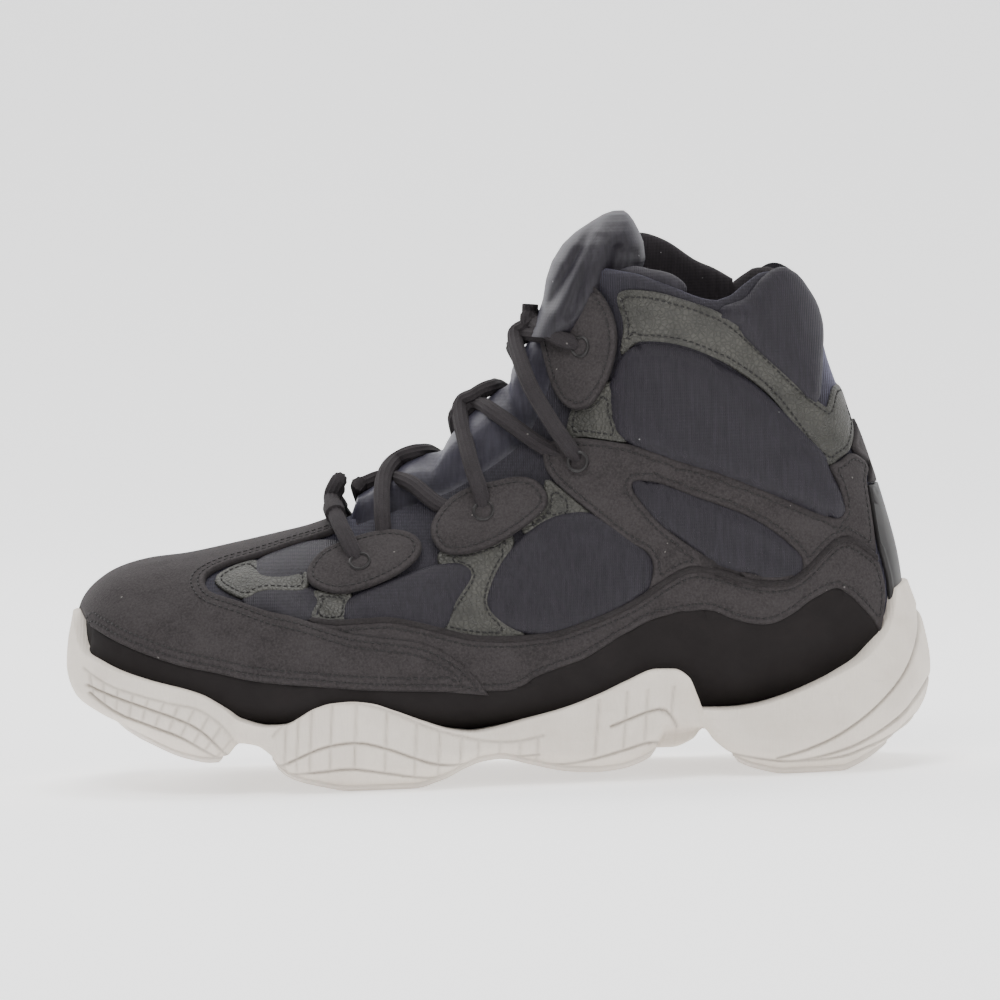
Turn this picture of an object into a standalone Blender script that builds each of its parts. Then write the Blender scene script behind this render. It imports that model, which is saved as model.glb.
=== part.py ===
"""High-top sneaker, left shoe, built round one function for the surface of its last.

The shoe stands on Z = 0 with its toe towards -X and its lateral side towards -Y.
Every wall and overlay is a shell between two offsets of last_point, so neighbours
keep the same curves and a clear gap.
"""

import math

import bmesh
import bpy
import numpy as np

# Driving sizes, in metres
SHOE_LENGTH = 0.305
SHOE_HEIGHT = 0.200
BALL_HALF_WIDTH = 0.054
WALL = 0.0022
COLLAR_PADDING = 0.0050
CLEARANCE = 0.0003
OVERLAY = 0.0013
RIM_WALL = 0.0026
TREAD_DEPTH = 0.0024
INSOLE_THICKNESS = 0.0040
TONGUE_THICKNESS = 0.0060
TONGUE_TOP_THICKNESS = 0.0080
TONGUE_PUFF = 0.0050
TONGUE_TUCK = 0.0090
TONGUE_GAP = 0.0009
LACE_REST = 0.0012
LACE_RADIUS = 0.0027

# Colours and roughness of the materials
FOAM = ((0.72, 0.68, 0.61), 0.7)
TREAD = ((0.66, 0.60, 0.55), 0.8)
NYLON = ((0.04, 0.035, 0.055), 0.8)
SATIN = ((0.09, 0.085, 0.12), 0.6)
LINING = ((0.03, 0.03, 0.035), 0.9)
SUEDE = ((0.065, 0.06, 0.058), 0.95)
NUBUCK = ((0.03, 0.027, 0.027), 0.6)
LEATHER = ((0.09, 0.088, 0.08), 0.55)
CORD = ((0.085, 0.08, 0.082), 0.9)

# How finely the last is divided
ROW_STEP = 1.0
BOTTOM_CELLS = 2
SIDE_CELLS = 9
THROAT_CELLS = 2
SOLE_STATIONS = 32

# Sections of the last, from the toe to the collar and on to the top of the tongue.
# back_* is the lower or rear end of a section, front_* its upper or front end.
# x and the z values are shares of SHOE_LENGTH and SHOE_HEIGHT, the widths and the
# swing to the medial side are shares of BALL_HALF_WIDTH. widest is the share of the
# section's height where it is widest; low and high are the roundness of its two ends.
SECTION_COLUMNS = ("back_x", "back_z", "front_x", "front_z", "lateral", "medial", "swing",
                   "widest", "low", "high")
SECTIONS = (
    (-0.476, 0.248, -0.477, 0.305, 0.14, 0.15, 0.12, 0.45, 2.2, 2.2),
    (-0.472, 0.212, -0.471, 0.328, 0.35, 0.34, 0.12, 0.42, 2.4, 2.2),
    (-0.460, 0.182, -0.458, 0.350, 0.54, 0.51, 0.12, 0.38, 2.8, 2.2),
    (-0.437, 0.158, -0.435, 0.372, 0.71, 0.67, 0.11, 0.35, 3.2, 2.2),
    (-0.400, 0.138, -0.400, 0.387, 0.84, 0.79, 0.10, 0.32, 3.6, 2.2),
    (-0.348, 0.122, -0.352, 0.395, 0.93, 0.88, 0.08, 0.30, 4.0, 2.2),
    (-0.288, 0.110, -0.300, 0.410, 0.98, 0.93, 0.06, 0.29, 4.0, 2.15),
    (-0.222, 0.101, -0.252, 0.425, 1.00, 0.96, 0.04, 0.28, 4.0, 2.1),
    (-0.150, 0.095, -0.204, 0.442, 0.98, 0.95, 0.02, 0.28, 4.0, 2.0),
    (-0.078, 0.092, -0.157, 0.470, 0.94, 0.88, 0.00, 0.28, 4.0, 1.95),
    (0.000, 0.092, -0.111, 0.508, 0.88, 0.80, 0.00, 0.28, 3.8, 1.9),
    (0.086, 0.094, -0.066, 0.552, 0.82, 0.74, 0.00, 0.29, 3.8, 1.9),
    (0.178, 0.099, -0.023, 0.600, 0.77, 0.71, 0.00, 0.31, 3.7, 1.95),
    (0.276, 0.105, 0.012, 0.650, 0.74, 0.70, 0.00, 0.34, 3.5, 2.0),
    (0.367, 0.115, 0.036, 0.700, 0.72, 0.70, 0.00, 0.38, 3.0, 2.1),
    (0.430, 0.146, 0.056, 0.745, 0.71, 0.70, 0.00, 0.42, 2.6, 2.2),
    (0.456, 0.205, 0.071, 0.780, 0.70, 0.70, 0.00, 0.45, 2.5, 2.2),
    (0.464, 0.280, 0.079, 0.808, 0.70, 0.70, 0.00, 0.47, 2.4, 2.2),
    (0.460, 0.362, 0.086, 0.832, 0.70, 0.70, 0.00, 0.48, 2.4, 2.2),
    (0.446, 0.455, 0.091, 0.850, 0.70, 0.70, 0.00, 0.49, 2.3, 2.2),
    (0.428, 0.548, 0.095, 0.864, 0.69, 0.69, 0.00, 0.50, 2.3, 2.2),
    (0.408, 0.635, 0.098, 0.874, 0.69, 0.69, 0.00, 0.50, 2.3, 2.2),
    (0.391, 0.712, 0.100, 0.882, 0.69, 0.69, 0.00, 0.50, 2.3, 2.2),
    (0.382, 0.775, 0.102, 0.890, 0.70, 0.70, 0.00, 0.50, 2.3, 2.2),
    (0.371, 0.835, 0.104, 0.898, 0.71, 0.71, 0.00, 0.50, 2.3, 2.2),
    (0.372, 0.880, 0.114, 0.925, 0.71, 0.71, 0.00, 0.50, 2.3, 2.2),
    (0.372, 0.920, 0.130, 0.950, 0.71, 0.71, 0.00, 0.50, 2.3, 2.2),
    (0.372, 0.955, 0.148, 0.968, 0.71, 0.71, 0.00, 0.50, 2.3, 2.2),
)
TOE_ROW = 1.5
HEEL_ROW = 15.0
THROAT_ROW = 9.0
COLLAR_ROW = 24.0
TONGUE_TOP_ROW = 27.0

# Lift of the collar line, from the heel (0) to the front (1), as shares of SHOE_HEIGHT
COLLAR_DIP = ((0.0, 0.010), (0.06, 0.020), (0.13, 0.026), (0.20, 0.020), (0.27, -0.002),
              (0.34, -0.028), (0.41, -0.041), (0.49, -0.038), (0.60, -0.024), (0.75, -0.008),
              (1.0, 0.0))
# Half of the throat's opening by row of the sections, as shares of BALL_HALF_WIDTH
THROAT_HALF = ((8.0, 0.24), (9.0, 0.30), (11.0, 0.40), (13.0, 0.40), (15.0, 0.33), (17.0, 0.28),
               (24.0, 0.27), (27.0, 0.27))
# Where the inturned lower edge of the upper runs round its section, in radians
LOWER_EDGE = ((0.0, 0.95), (2.0, 0.80), (4.0, 0.68), (9.0, 0.66), (11.0, 0.55), (14.0, 0.45),
              (18.0, 0.40), (27.0, 0.40))
# Thickness of the upper's padding towards the collar, as shares of COLLAR_PADDING
PADDING = ((0.0, 0.0), (15.0, 0.0), (19.0, 0.35), (22.0, 0.9), (24.0, 0.55), (27.0, 0.55))

# Side view of the sole: x as a share of SHOE_LENGTH, z as a share of SHOE_HEIGHT
RIM_LINE = ((-0.500, 0.300), (-0.487, 0.262), (-0.477, 0.243), (-0.464, 0.234), (-0.438, 0.218),
            (-0.403, 0.202), (-0.343, 0.178), (-0.310, 0.149), (-0.296, 0.132), (-0.263, 0.119),
            (-0.245, 0.120), (-0.209, 0.147), (-0.190, 0.155), (-0.168, 0.157), (-0.145, 0.153),
            (-0.120, 0.140), (-0.086, 0.119), (-0.052, 0.101), (-0.029, 0.096), (-0.004, 0.101),
            (0.030, 0.113), (0.077, 0.131), (0.118, 0.154), (0.146, 0.173), (0.181, 0.192),
            (0.201, 0.191), (0.217, 0.177), (0.227, 0.140), (0.232, 0.120), (0.265, 0.118),
            (0.291, 0.122), (0.325, 0.135), (0.348, 0.147), (0.387, 0.171), (0.420, 0.195),
            (0.442, 0.222), (0.454, 0.240), (0.464, 0.268), (0.472, 0.310), (0.500, 0.322))
GROUND_LINE = ((-0.500, 0.190), (-0.466, 0.150), (-0.429, 0.112), (-0.401, 0.090),
               (-0.359, 0.063), (-0.330, 0.055), (-0.312, 0.057), (-0.296, 0.078),
               (-0.278, 0.074), (-0.262, 0.058), (-0.250, 0.036), (-0.236, 0.022),
               (-0.203, 0.008), (-0.173, 0.0), (-0.100, 0.0), (-0.066, 0.013), (-0.042, 0.030),
               (-0.020, 0.042), (0.0, 0.045), (0.030, 0.034), (0.075, 0.018), (0.109, 0.015),
               (0.138, 0.019), (0.161, 0.030), (0.178, 0.047), (0.190, 0.075), (0.230, 0.077),
               (0.244, 0.052), (0.262, 0.030), (0.289, 0.011), (0.325, 0.0), (0.389, 0.0),
               (0.410, 0.009), (0.430, 0.022), (0.452, 0.038), (0.474, 0.066), (0.500, 0.120))
# The same on the medial side, where the arch pod reaches nearly to the floor
MEDIAL_GROUND_LINE = ((-0.500, 0.190), (-0.466, 0.150), (-0.429, 0.112), (-0.401, 0.090),
                      (-0.359, 0.063), (-0.330, 0.055), (-0.312, 0.057), (-0.296, 0.078),
                      (-0.278, 0.074), (-0.262, 0.058), (-0.250, 0.036), (-0.236, 0.022),
                      (-0.203, 0.008), (-0.173, 0.0), (-0.100, 0.0), (-0.066, 0.013),
                      (-0.030, 0.040), (0.000, 0.048), (0.040, 0.038), (0.080, 0.020),
                      (0.120, 0.008), (0.200, 0.006), (0.226, 0.020), (0.240, 0.048),
                      (0.254, 0.062), (0.266, 0.048), (0.289, 0.014), (0.325, 0.0), (0.389, 0.0),
                      (0.410, 0.009), (0.430, 0.022), (0.452, 0.038), (0.474, 0.066),
                      (0.500, 0.120))
# How far each pod of the sole stands out, by x share, as shares of RIM_WALL
POD_BULGE = ((-0.500, 0.8), (-0.400, 1.3), (-0.330, 1.2), (-0.285, -0.6), (-0.235, 1.0),
             (-0.170, 1.5), (-0.090, 1.3), (-0.030, 0.6), (0.060, 1.1), (0.150, 1.5),
             (0.195, 0.7), (0.225, -0.9), (0.265, 0.6), (0.330, 1.6), (0.420, 1.8), (0.500, 1.0))
# Where each tread pad starts and ends, as x shares
OUTSOLE_PADS = {"outsole_toe": (-0.47, -0.31), "outsole_forefoot": (-0.262, 0.185),
                "outsole_heel": (0.262, 0.5)}
# Side outlines of the overlays, x in shares of SHOE_LENGTH and z of SHOE_HEIGHT
MUD_LINE = ((-0.520, 0.330), (-0.480, 0.306), (-0.460, 0.288), (-0.426, 0.263), (-0.389, 0.241),
            (-0.355, 0.225), (-0.320, 0.214), (-0.285, 0.201), (-0.250, 0.193), (-0.206, 0.186),
            (-0.150, 0.177), (-0.062, 0.169), (0.007, 0.166), (0.030, 0.176), (0.044, 0.188),
            (0.078, 0.205), (0.101, 0.217), (0.135, 0.246), (0.171, 0.274), (0.198, 0.286),
            (0.224, 0.291), (0.246, 0.290), (0.269, 0.274), (0.294, 0.264), (0.316, 0.265),
            (0.340, 0.282), (0.359, 0.302), (0.385, 0.320), (0.399, 0.311), (0.413, 0.289),
            (0.427, 0.263), (0.436, 0.234))
SUEDE_LINE = ((0.436, 0.362), (0.424, 0.380), (0.410, 0.397), (0.398, 0.403), (0.385, 0.396),
              (0.370, 0.375), (0.353, 0.350), (0.334, 0.334), (0.310, 0.332), (0.282, 0.340),
              (0.254, 0.355), (0.226, 0.361), (0.207, 0.352), (0.184, 0.332), (0.161, 0.310),
              (0.126, 0.286), (0.070, 0.259), (0.031, 0.253), (-0.003, 0.253), (-0.033, 0.258),
              (-0.060, 0.269), (-0.094, 0.283), (-0.128, 0.292), (-0.174, 0.290), (-0.213, 0.296),
              (-0.253, 0.312), (-0.287, 0.328), (-0.321, 0.343), (-0.331, 0.358))
VAMP_STRIP = ((-0.328, 0.371), (-0.307, 0.386), (-0.272, 0.399), (-0.229, 0.417), (-0.203, 0.427),
              (-0.183, 0.436), (-0.168, 0.455), (-0.150, 0.520))
HEEL_STRIP_FRONT = ((0.428, 0.492), (0.431, 0.460), (0.434, 0.421), (0.438, 0.384),
                    (0.443, 0.354), (0.448, 0.310), (0.450, 0.200))
EYELET_TABS = {
    "eyelet_tab_2": ((-0.214, 0.364), (-0.210, 0.383), (-0.196, 0.402), (-0.173, 0.417),
                     (-0.141, 0.432), (-0.113, 0.438), (-0.092, 0.432), (-0.082, 0.415),
                     (-0.088, 0.391), (-0.114, 0.364), (-0.152, 0.343), (-0.183, 0.339),
                     (-0.205, 0.349)),
    "eyelet_tab_3": ((-0.070, 0.427), (-0.067, 0.455), (-0.048, 0.488), (-0.023, 0.509),
                     (0.006, 0.520), (0.030, 0.527), (0.051, 0.521), (0.063, 0.498),
                     (0.060, 0.473), (0.033, 0.440), (0.001, 0.413), (-0.030, 0.399),
                     (-0.057, 0.401)),
    "eyelet_tab_5": ((0.076, 0.806), (0.092, 0.847), (0.114, 0.866), (0.131, 0.853),
                     (0.145, 0.818), (0.151, 0.772), (0.146, 0.726), (0.136, 0.688),
                     (0.117, 0.650), (0.096, 0.644), (0.080, 0.668), (0.071, 0.714),
                     (0.067, 0.768))}
STAR = ((0.109, 0.594), (0.077, 0.592), (0.063, 0.578), (0.061, 0.551), (0.070, 0.524),
        (0.088, 0.497), (0.108, 0.471), (0.149, 0.418), (0.173, 0.395), (0.180, 0.370),
        (0.176, 0.341), (0.172, 0.326), (0.184, 0.338), (0.207, 0.358), (0.226, 0.367),
        (0.254, 0.361), (0.282, 0.346), (0.310, 0.338), (0.334, 0.340), (0.353, 0.356),
        (0.370, 0.381), (0.385, 0.402), (0.398, 0.409), (0.410, 0.403), (0.424, 0.386),
        (0.433, 0.374), (0.431, 0.421), (0.428, 0.460), (0.425, 0.500), (0.428, 0.524),
        (0.411, 0.550), (0.396, 0.539), (0.384, 0.530), (0.393, 0.498), (0.398, 0.474),
        (0.398, 0.453), (0.390, 0.443), (0.371, 0.452), (0.336, 0.477), (0.265, 0.525),
        (0.212, 0.552), (0.167, 0.578), (0.153, 0.584))
STAR_WINDOW = ((0.160, 0.511), (0.167, 0.519), (0.193, 0.513), (0.228, 0.491), (0.272, 0.465),
               (0.298, 0.446), (0.324, 0.418), (0.343, 0.389), (0.350, 0.368), (0.342, 0.352),
               (0.305, 0.349), (0.259, 0.370), (0.227, 0.400), (0.192, 0.442), (0.165, 0.493))
COLLAR_BAND = ((0.153, 0.843), (0.186, 0.846), (0.224, 0.830), (0.261, 0.808), (0.286, 0.780),
               (0.321, 0.725), (0.358, 0.665), (0.380, 0.634), (0.386, 0.633), (0.397, 0.668),
               (0.408, 0.623), (0.413, 0.590), (0.408, 0.559), (0.395, 0.545), (0.382, 0.537),
               (0.358, 0.580), (0.320, 0.660), (0.284, 0.707), (0.247, 0.740), (0.210, 0.759),
               (0.172, 0.762), (0.154, 0.740), (0.158, 0.790))
HEEL_BACK = ((0.402, 0.682), (0.412, 0.625), (0.417, 0.590), (0.412, 0.557), (0.431, 0.528),
             (0.430, 0.498), (0.520, 0.498), (0.520, 0.682))
VAMP_LEATHER = {
    "vamp_leather_toe": ((-0.318, 0.365), (-0.307, 0.378), (-0.288, 0.388), (-0.272, 0.392),
                         (-0.269, 0.384), (-0.240, 0.383), (-0.218, 0.383), (-0.218, 0.352),
                         (-0.265, 0.350), (-0.284, 0.340), (-0.303, 0.349)),
    "vamp_leather_2": ((-0.206, 0.344), (-0.183, 0.340), (-0.166, 0.341), (-0.168, 0.323),
                       (-0.170, 0.309), (-0.167, 0.296), (-0.200, 0.298), (-0.209, 0.307),
                       (-0.202, 0.330)),
    "vamp_leather_3": ((-0.060, 0.404), (-0.030, 0.404), (0.001, 0.418), (0.020, 0.430),
                       (0.018, 0.400), (0.009, 0.384), (-0.004, 0.345), (-0.007, 0.313),
                       (0.005, 0.287), (0.025, 0.266), (0.028, 0.259), (-0.003, 0.259),
                       (-0.033, 0.264), (-0.060, 0.275), (-0.066, 0.281), (-0.047, 0.322),
                       (-0.030, 0.358), (-0.030, 0.372), (-0.043, 0.382), (-0.060, 0.385)),
    "vamp_leather_4": ((0.061, 0.478), (0.062, 0.520), (0.074, 0.511), (0.104, 0.471),
                       (0.112, 0.461), (0.095, 0.463), (0.065, 0.453), (0.040, 0.434),
                       (0.036, 0.447)),
    "vamp_leather_5": ((0.098, 0.648), (0.118, 0.656), (0.140, 0.690), (0.141, 0.628),
                       (0.151, 0.598), (0.153, 0.589), (0.109, 0.599), (0.090, 0.598))}
# Places of the eyelets, from the toe loop's lace up to the collar
EYELETS = ((-0.152, 0.386), (-0.009, 0.468), (0.101, 0.552), (0.112, 0.750))
TOE_LOOP_ROW = 8.55
TOE_LOOP_WALL = 0.0014
TOE_LOOP_WIDTH = 0.0090
SIDES = ((-1, "lateral"), (1, "medial"))
# How far a cut shell reaches past its outline
CUT_MARGIN = 0.0110
TAB_LIFT = 0.0019
THROAT_MARGIN = 0.0105
BEYOND = 0.0900
SEAM_GAP = 0.0005
TOE_LOOP_SEAT = 0.0019
HEEL_STRIP_END = ((0.442, 0.215), (0.444, 0.300), (0.440, 0.340))
# The sole's plan: x share, then lateral and medial half widths as shares of BALL_HALF_WIDTH
SOLE_PLAN = (
    (-0.4915, 0.0, 0.0), (-0.486, 0.26, 0.42), (-0.473, 0.47, 0.64), (-0.452, 0.65, 0.79),
    (-0.420, 0.79, 0.92), (-0.370, 0.91, 0.99), (-0.310, 0.99, 1.05), (-0.240, 1.04, 1.07),
    (-0.170, 1.04, 1.04), (-0.100, 1.01, 0.97), (-0.020, 0.96, 0.89), (0.060, 0.90, 0.83),
    (0.150, 0.86, 0.80), (0.240, 0.83, 0.80), (0.320, 0.81, 0.80), (0.380, 0.76, 0.75),
    (0.428, 0.64, 0.64), (0.460, 0.47, 0.47), (0.482, 0.26, 0.26), (0.4915, 0.0, 0.0))
# Profile of the sole's side: share of its height, then of the pod's bulge, of the turn
# under the foot and of the lean of the rim
SIDE_PROFILE = ((0.0, 0.0, 1.0, 0.0), (0.10, 0.35, 0.42, 0.0), (0.28, 0.85, 0.10, 0.0),
                (0.48, 1.0, 0.0, 0.05), (0.70, 0.75, 0.0, 0.30), (0.88, 0.30, 0.0, 0.70),
                (1.0, 0.0, 0.0, 1.0))
TURN_UNDER = 0.0062
END_TURN_UNDER = 0.0130
TOE_LEAN = 0.0008
HEEL_LEAN = 0.0045
RIM_ROOT = 0.0050
TOE_BUMPER = 0.0080
TOE_BUMPER_HALF = 0.0180
TREAD_CHAMFER_SHARE = 0.02


def share(table, key, column=1):
    """Value of a two-column table at a key, with straight lines between its rows."""
    return np.interp(key, [row[0] for row in table], [row[column] for row in table])


def section_values(row):
    """Columns of SECTIONS at any row number, on a smooth curve through the rows."""
    table = np.array(SECTIONS)
    row = np.clip(np.asarray(row, dtype=float), -0.5, len(table) - 0.5)
    low = np.clip(np.floor(row).astype(int), 0, len(table) - 2)
    part = (row - low)[..., None]
    before = table[np.clip(low - 1, 0, None)]
    start = table[low]
    end = table[low + 1]
    after = table[np.clip(low + 2, None, len(table) - 1)]
    tangent_start = (end - before) / 2
    tangent_end = (after - start) / 2
    curve = ((2 * part**3 - 3 * part**2 + 1) * start + (part**3 - 2 * part**2 + part) * tangent_start
             + (-2 * part**3 + 3 * part**2) * end + (part**3 - part**2) * tangent_end)
    return {name: curve[..., index] for index, name in enumerate(SECTION_COLUMNS)}


def last_surface(row, angle):
    """Point of the last: angle 0 is the back or bottom, pi the front, lateral side first."""
    row = np.asarray(row, dtype=float)
    angle = np.mod(np.asarray(angle, dtype=float), 2 * math.pi)
    values = section_values(row)
    sine = np.abs(np.sin(angle))
    cosine = np.cos(angle)
    below = cosine > 0
    power = np.where(below, values["low"], values["high"])
    out = np.maximum(sine, 1e-9) ** (2 / power)
    reach = np.abs(cosine) ** (2 / power)
    along = np.where(below, values["widest"] * (1 - reach),
                     values["widest"] + (1 - values["widest"]) * reach)
    lateral = angle < math.pi
    half = np.where(lateral, -values["lateral"], values["medial"]) * BALL_HALF_WIDTH
    x = (values["back_x"] + (values["front_x"] - values["back_x"]) * along) * SHOE_LENGTH
    z = (values["back_z"] + (values["front_z"] - values["back_z"]) * along) * SHOE_HEIGHT
    blend = np.clip((row - 19.5) / 4.5, 0, 1) * np.clip((27.5 - row) / 3.5, 0, 1)
    z = z + share(COLLAR_DIP, along) * SHOE_HEIGHT * blend
    y = values["swing"] * BALL_HALF_WIDTH + half * out
    return np.stack([x, y, z], axis=-1)


def last_normal(row, angle):
    """Outward direction of the last, from neighbouring points of its surface."""
    row = np.asarray(row, dtype=float)
    angle = np.asarray(angle, dtype=float)
    across = last_surface(row, angle + 0.11) - last_surface(row, angle - 0.11)
    onward = last_surface(np.minimum(row + 0.35, 27.4), angle) - last_surface(row - 0.35, angle)
    normal = np.cross(onward, across)
    return normal / np.maximum(np.linalg.norm(normal, axis=-1, keepdims=True), 1e-12)


def last_point(row, angle, offset=0.0):
    """Point at a distance outside the last's surface."""
    offset = np.asarray(offset, dtype=float)
    return last_surface(row, angle) + last_normal(row, angle) * offset[..., None]


def throat_angle(row):
    """Angle at which a section meets the edge of the throat, on either side."""
    values = section_values(row)
    half = share(THROAT_HALF, row)
    return math.pi - np.arcsin(np.clip(half / values["lateral"], 0, 1) ** (values["high"] / 2))


def ring_angles(row):
    """Knots round a section: bottom, side and throat, lateral side first."""
    low = share(LOWER_EDGE, row)
    high = throat_angle(max(row, THROAT_ROW))
    side = np.concatenate([
        np.linspace(0, low, BOTTOM_CELLS, endpoint=False),
        np.linspace(low, high, SIDE_CELLS, endpoint=False),
        np.linspace(high, math.pi, THROAT_CELLS, endpoint=False)])
    return np.concatenate([side, [math.pi], 2 * math.pi - side[:0:-1]])


def wall_thickness(row):
    """Thickness of the upper's wall, padded towards the collar."""
    return WALL + share(PADDING, row) * COLLAR_PADDING


def make_object(name, vertices, faces):
    """Mesh object from points and faces, with its faces turned outward."""
    mesh = bpy.data.meshes.new(name)
    mesh.from_pydata([tuple(map(float, point)) for point in vertices], [], faces)
    model = bmesh.new()
    model.from_mesh(mesh)
    loose = [vertex for vertex in model.verts if not vertex.link_faces]
    bmesh.ops.delete(model, geom=loose, context="VERTS")
    bmesh.ops.recalc_face_normals(model, faces=model.faces)
    model.to_mesh(mesh)
    model.free()
    item = bpy.data.objects.new(name, mesh)
    bpy.context.scene.collection.objects.link(item)
    return item


def shell(name, rows, rings, outer, inner, keep):
    """Closed solid between two offset grids, on the cells that keep allows.

    rows has one number a section, rings its angles; outer and inner are offsets of the
    same shape; keep(row, angle) is asked at the middle of each cell.
    """
    count = rings.shape[1]
    grid_rows = np.repeat(np.asarray(rows)[:, None], count, axis=1)
    top = last_point(grid_rows, rings, outer).reshape(-1, 3)
    base = last_point(grid_rows, rings, inner).reshape(-1, 3)
    vertices = np.concatenate([top, base])
    shift = len(top)
    cells = {}
    for i in range(len(rows) - 1):
        for j in range(count):
            following = (j + 1) % count
            angle = (rings[i, j] + (rings[i, following] if following else 2 * math.pi)) / 2
            if keep((rows[i] + rows[i + 1]) / 2, angle):
                cells[(i, j)] = (i * count + j, i * count + following,
                                 (i + 1) * count + following, (i + 1) * count + j)
    faces = []
    for a, b, c, d in cells.values():
        for corners in ((a, b, c), (a, c, d)):
            faces.append(corners)
            faces.append(tuple(shift + corner for corner in reversed(corners)))
    edges = {}
    for a, b, c, d in cells.values():
        for edge in ((a, b), (b, c), (c, d), (d, a)):
            edges[edge] = True
    if all((0, j) in cells for j in range(count)):
        faces.append(tuple(range(count)))
        faces.append(tuple(shift + j for j in reversed(range(count))))
        for j in range(count):
            edges[((j + 1) % count, j)] = True
    for a, b in list(edges):
        if (b, a) not in edges:
            faces.append((b, a, shift + a, shift + b))
    return make_object(name, vertices, faces)


def strip_shell(name, rows, rings, outer, inner):
    """Closed solid between two offsets on an open strip of the last."""
    count = rings.shape[1]
    grid_rows = np.repeat(np.asarray(rows)[:, None], count, axis=1)
    top = last_point(grid_rows, rings, outer).reshape(-1, 3)
    base = last_point(grid_rows, rings, inner).reshape(-1, 3)
    shift = len(top)
    faces = []
    height = len(rows)
    for i in range(height - 1):
        for j in range(count - 1):
            cell = (i * count + j, i * count + j + 1, (i + 1) * count + j + 1, (i + 1) * count + j)
            faces.append(cell)
            faces.append(tuple(shift + corner for corner in reversed(cell)))
    border = list(range(count))
    border += [i * count + count - 1 for i in range(1, height)]
    border += [(height - 1) * count + j for j in range(count - 2, -1, -1)]
    border += [i * count for i in range(height - 2, 0, -1)]
    for a, b in zip(border, border[1:] + border[:1]):
        faces.append((b, a, shift + a, shift + b))
    return make_object(name, np.concatenate([top, base]), faces)


def last_rows(first, final):
    """Row numbers of the grid between two rows, ends included."""
    steps = max(2, round((final - first) / ROW_STEP))
    return np.linspace(first, final, steps + 1)


def ring_grid(rows):
    """Angles of the knots for several rows."""
    return np.array([ring_angles(row) for row in rows])


def last_shell(name, outer, inner, keep, first=0.0, final=COLLAR_ROW):
    """Shell of the last between two constant or per-row offsets."""
    rows = last_rows(first, final)
    rings = ring_grid(rows)
    shape = rings.shape
    outer = np.broadcast_to(np.asarray(outer, dtype=float).reshape(-1, 1), shape)
    inner = np.broadcast_to(np.asarray(inner, dtype=float).reshape(-1, 1), shape)
    return shell(name, rows, rings, outer, inner, keep)


def last_solid(name, offset):
    """Filled last, closed at the collar, for cutting the sole."""
    rows = last_rows(0.0, COLLAR_ROW)
    rings = ring_grid(rows)
    count = rings.shape[1]
    grid_rows = np.repeat(rows[:, None], count, axis=1)
    points = last_point(grid_rows, rings, np.full(rings.shape, offset)).reshape(-1, 3)
    faces = [tuple(range(count)), tuple(range(len(points) - count, len(points)))]
    for i in range(len(rows) - 1):
        for j in range(count):
            following = (j + 1) % count
            a, b = i * count + j, i * count + following
            faces.append((a, b, b + count))
            faces.append((a, b + count, a + count))
    return make_object(name, points, faces)


def combine(item, other, operation):
    """Boolean of two closed meshes, applied; the second object is removed."""
    modifier = item.modifiers.new("Boolean", "BOOLEAN")
    modifier.operation = operation
    modifier.object = other
    modifier.solver = "EXACT"
    graph = bpy.context.evaluated_depsgraph_get()
    mesh = bpy.data.meshes.new_from_object(item.evaluated_get(graph))
    item.modifiers.clear()
    item.data = mesh
    bpy.data.objects.remove(other)
    model = bmesh.new()
    model.from_mesh(mesh)
    bmesh.ops.dissolve_limit(model, angle_limit=math.radians(0.4), verts=model.verts,
                             edges=model.edges)
    bmesh.ops.triangulate(model, faces=model.faces)
    model.to_mesh(mesh)
    model.free()
    return item


def largest_body(item):
    """Keep only the largest connected body of a mesh."""
    model = bmesh.new()
    model.from_mesh(item.data)
    left = set(model.verts)
    bodies = []
    while left:
        seed = left.pop()
        body = {seed}
        queue = [seed]
        while queue:
            vertex = queue.pop()
            for edge in vertex.link_edges:
                other = edge.other_vert(vertex)
                if other in left:
                    left.discard(other)
                    body.add(other)
                    queue.append(other)
        bodies.append(body)
    bodies.sort(key=len)
    for body in bodies[:-1]:
        bmesh.ops.delete(model, geom=list(body), context="VERTS")
    model.to_mesh(item.data)
    model.free()
    return item


def finish(item, look):
    """Give a node its own Principled material and smooth shading."""
    colour, roughness = look
    material = bpy.data.materials.new(item.name)
    material.use_nodes = True
    shader = material.node_tree.nodes["Principled BSDF"]
    shader.inputs["Base Color"].default_value = (*colour, 1)
    shader.inputs["Roughness"].default_value = roughness
    shader.inputs["Metallic"].default_value = 0
    item.data.materials.clear()
    item.data.materials.append(material)
    item.data.shade_smooth()
    item.data.set_sharp_from_angle(angle=math.radians(40))
    return item


# Sole
def sole_knots():
    """Shares along the sole, closer together at the toe and the heel."""
    count = SOLE_STATIONS
    even = np.linspace(0, 1, count + 1)
    eased = 0.5 - 0.5 * np.cos(math.pi * even)
    mixed = 0.55 * eased + 0.45 * even
    start = SOLE_PLAN[0][0]
    end = SOLE_PLAN[-1][0]
    return start + (end - start) * mixed


def sole_half(x_share, side):
    """Half width of the sole's plan on the lateral (-1) or medial (1) side."""
    column = 1 if side < 0 else 2
    xs = np.array([row[0] for row in SOLE_PLAN])
    widths = np.array([row[column] for row in SOLE_PLAN])
    theta = np.arccos(np.clip(1 - 2 * (xs - xs[0]) / (xs[-1] - xs[0]), -1, 1))
    here = np.arccos(np.clip(1 - 2 * (x_share - xs[0]) / (xs[-1] - xs[0]), -1, 1))
    return np.interp(here, theta, widths) * BALL_HALF_WIDTH


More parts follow.
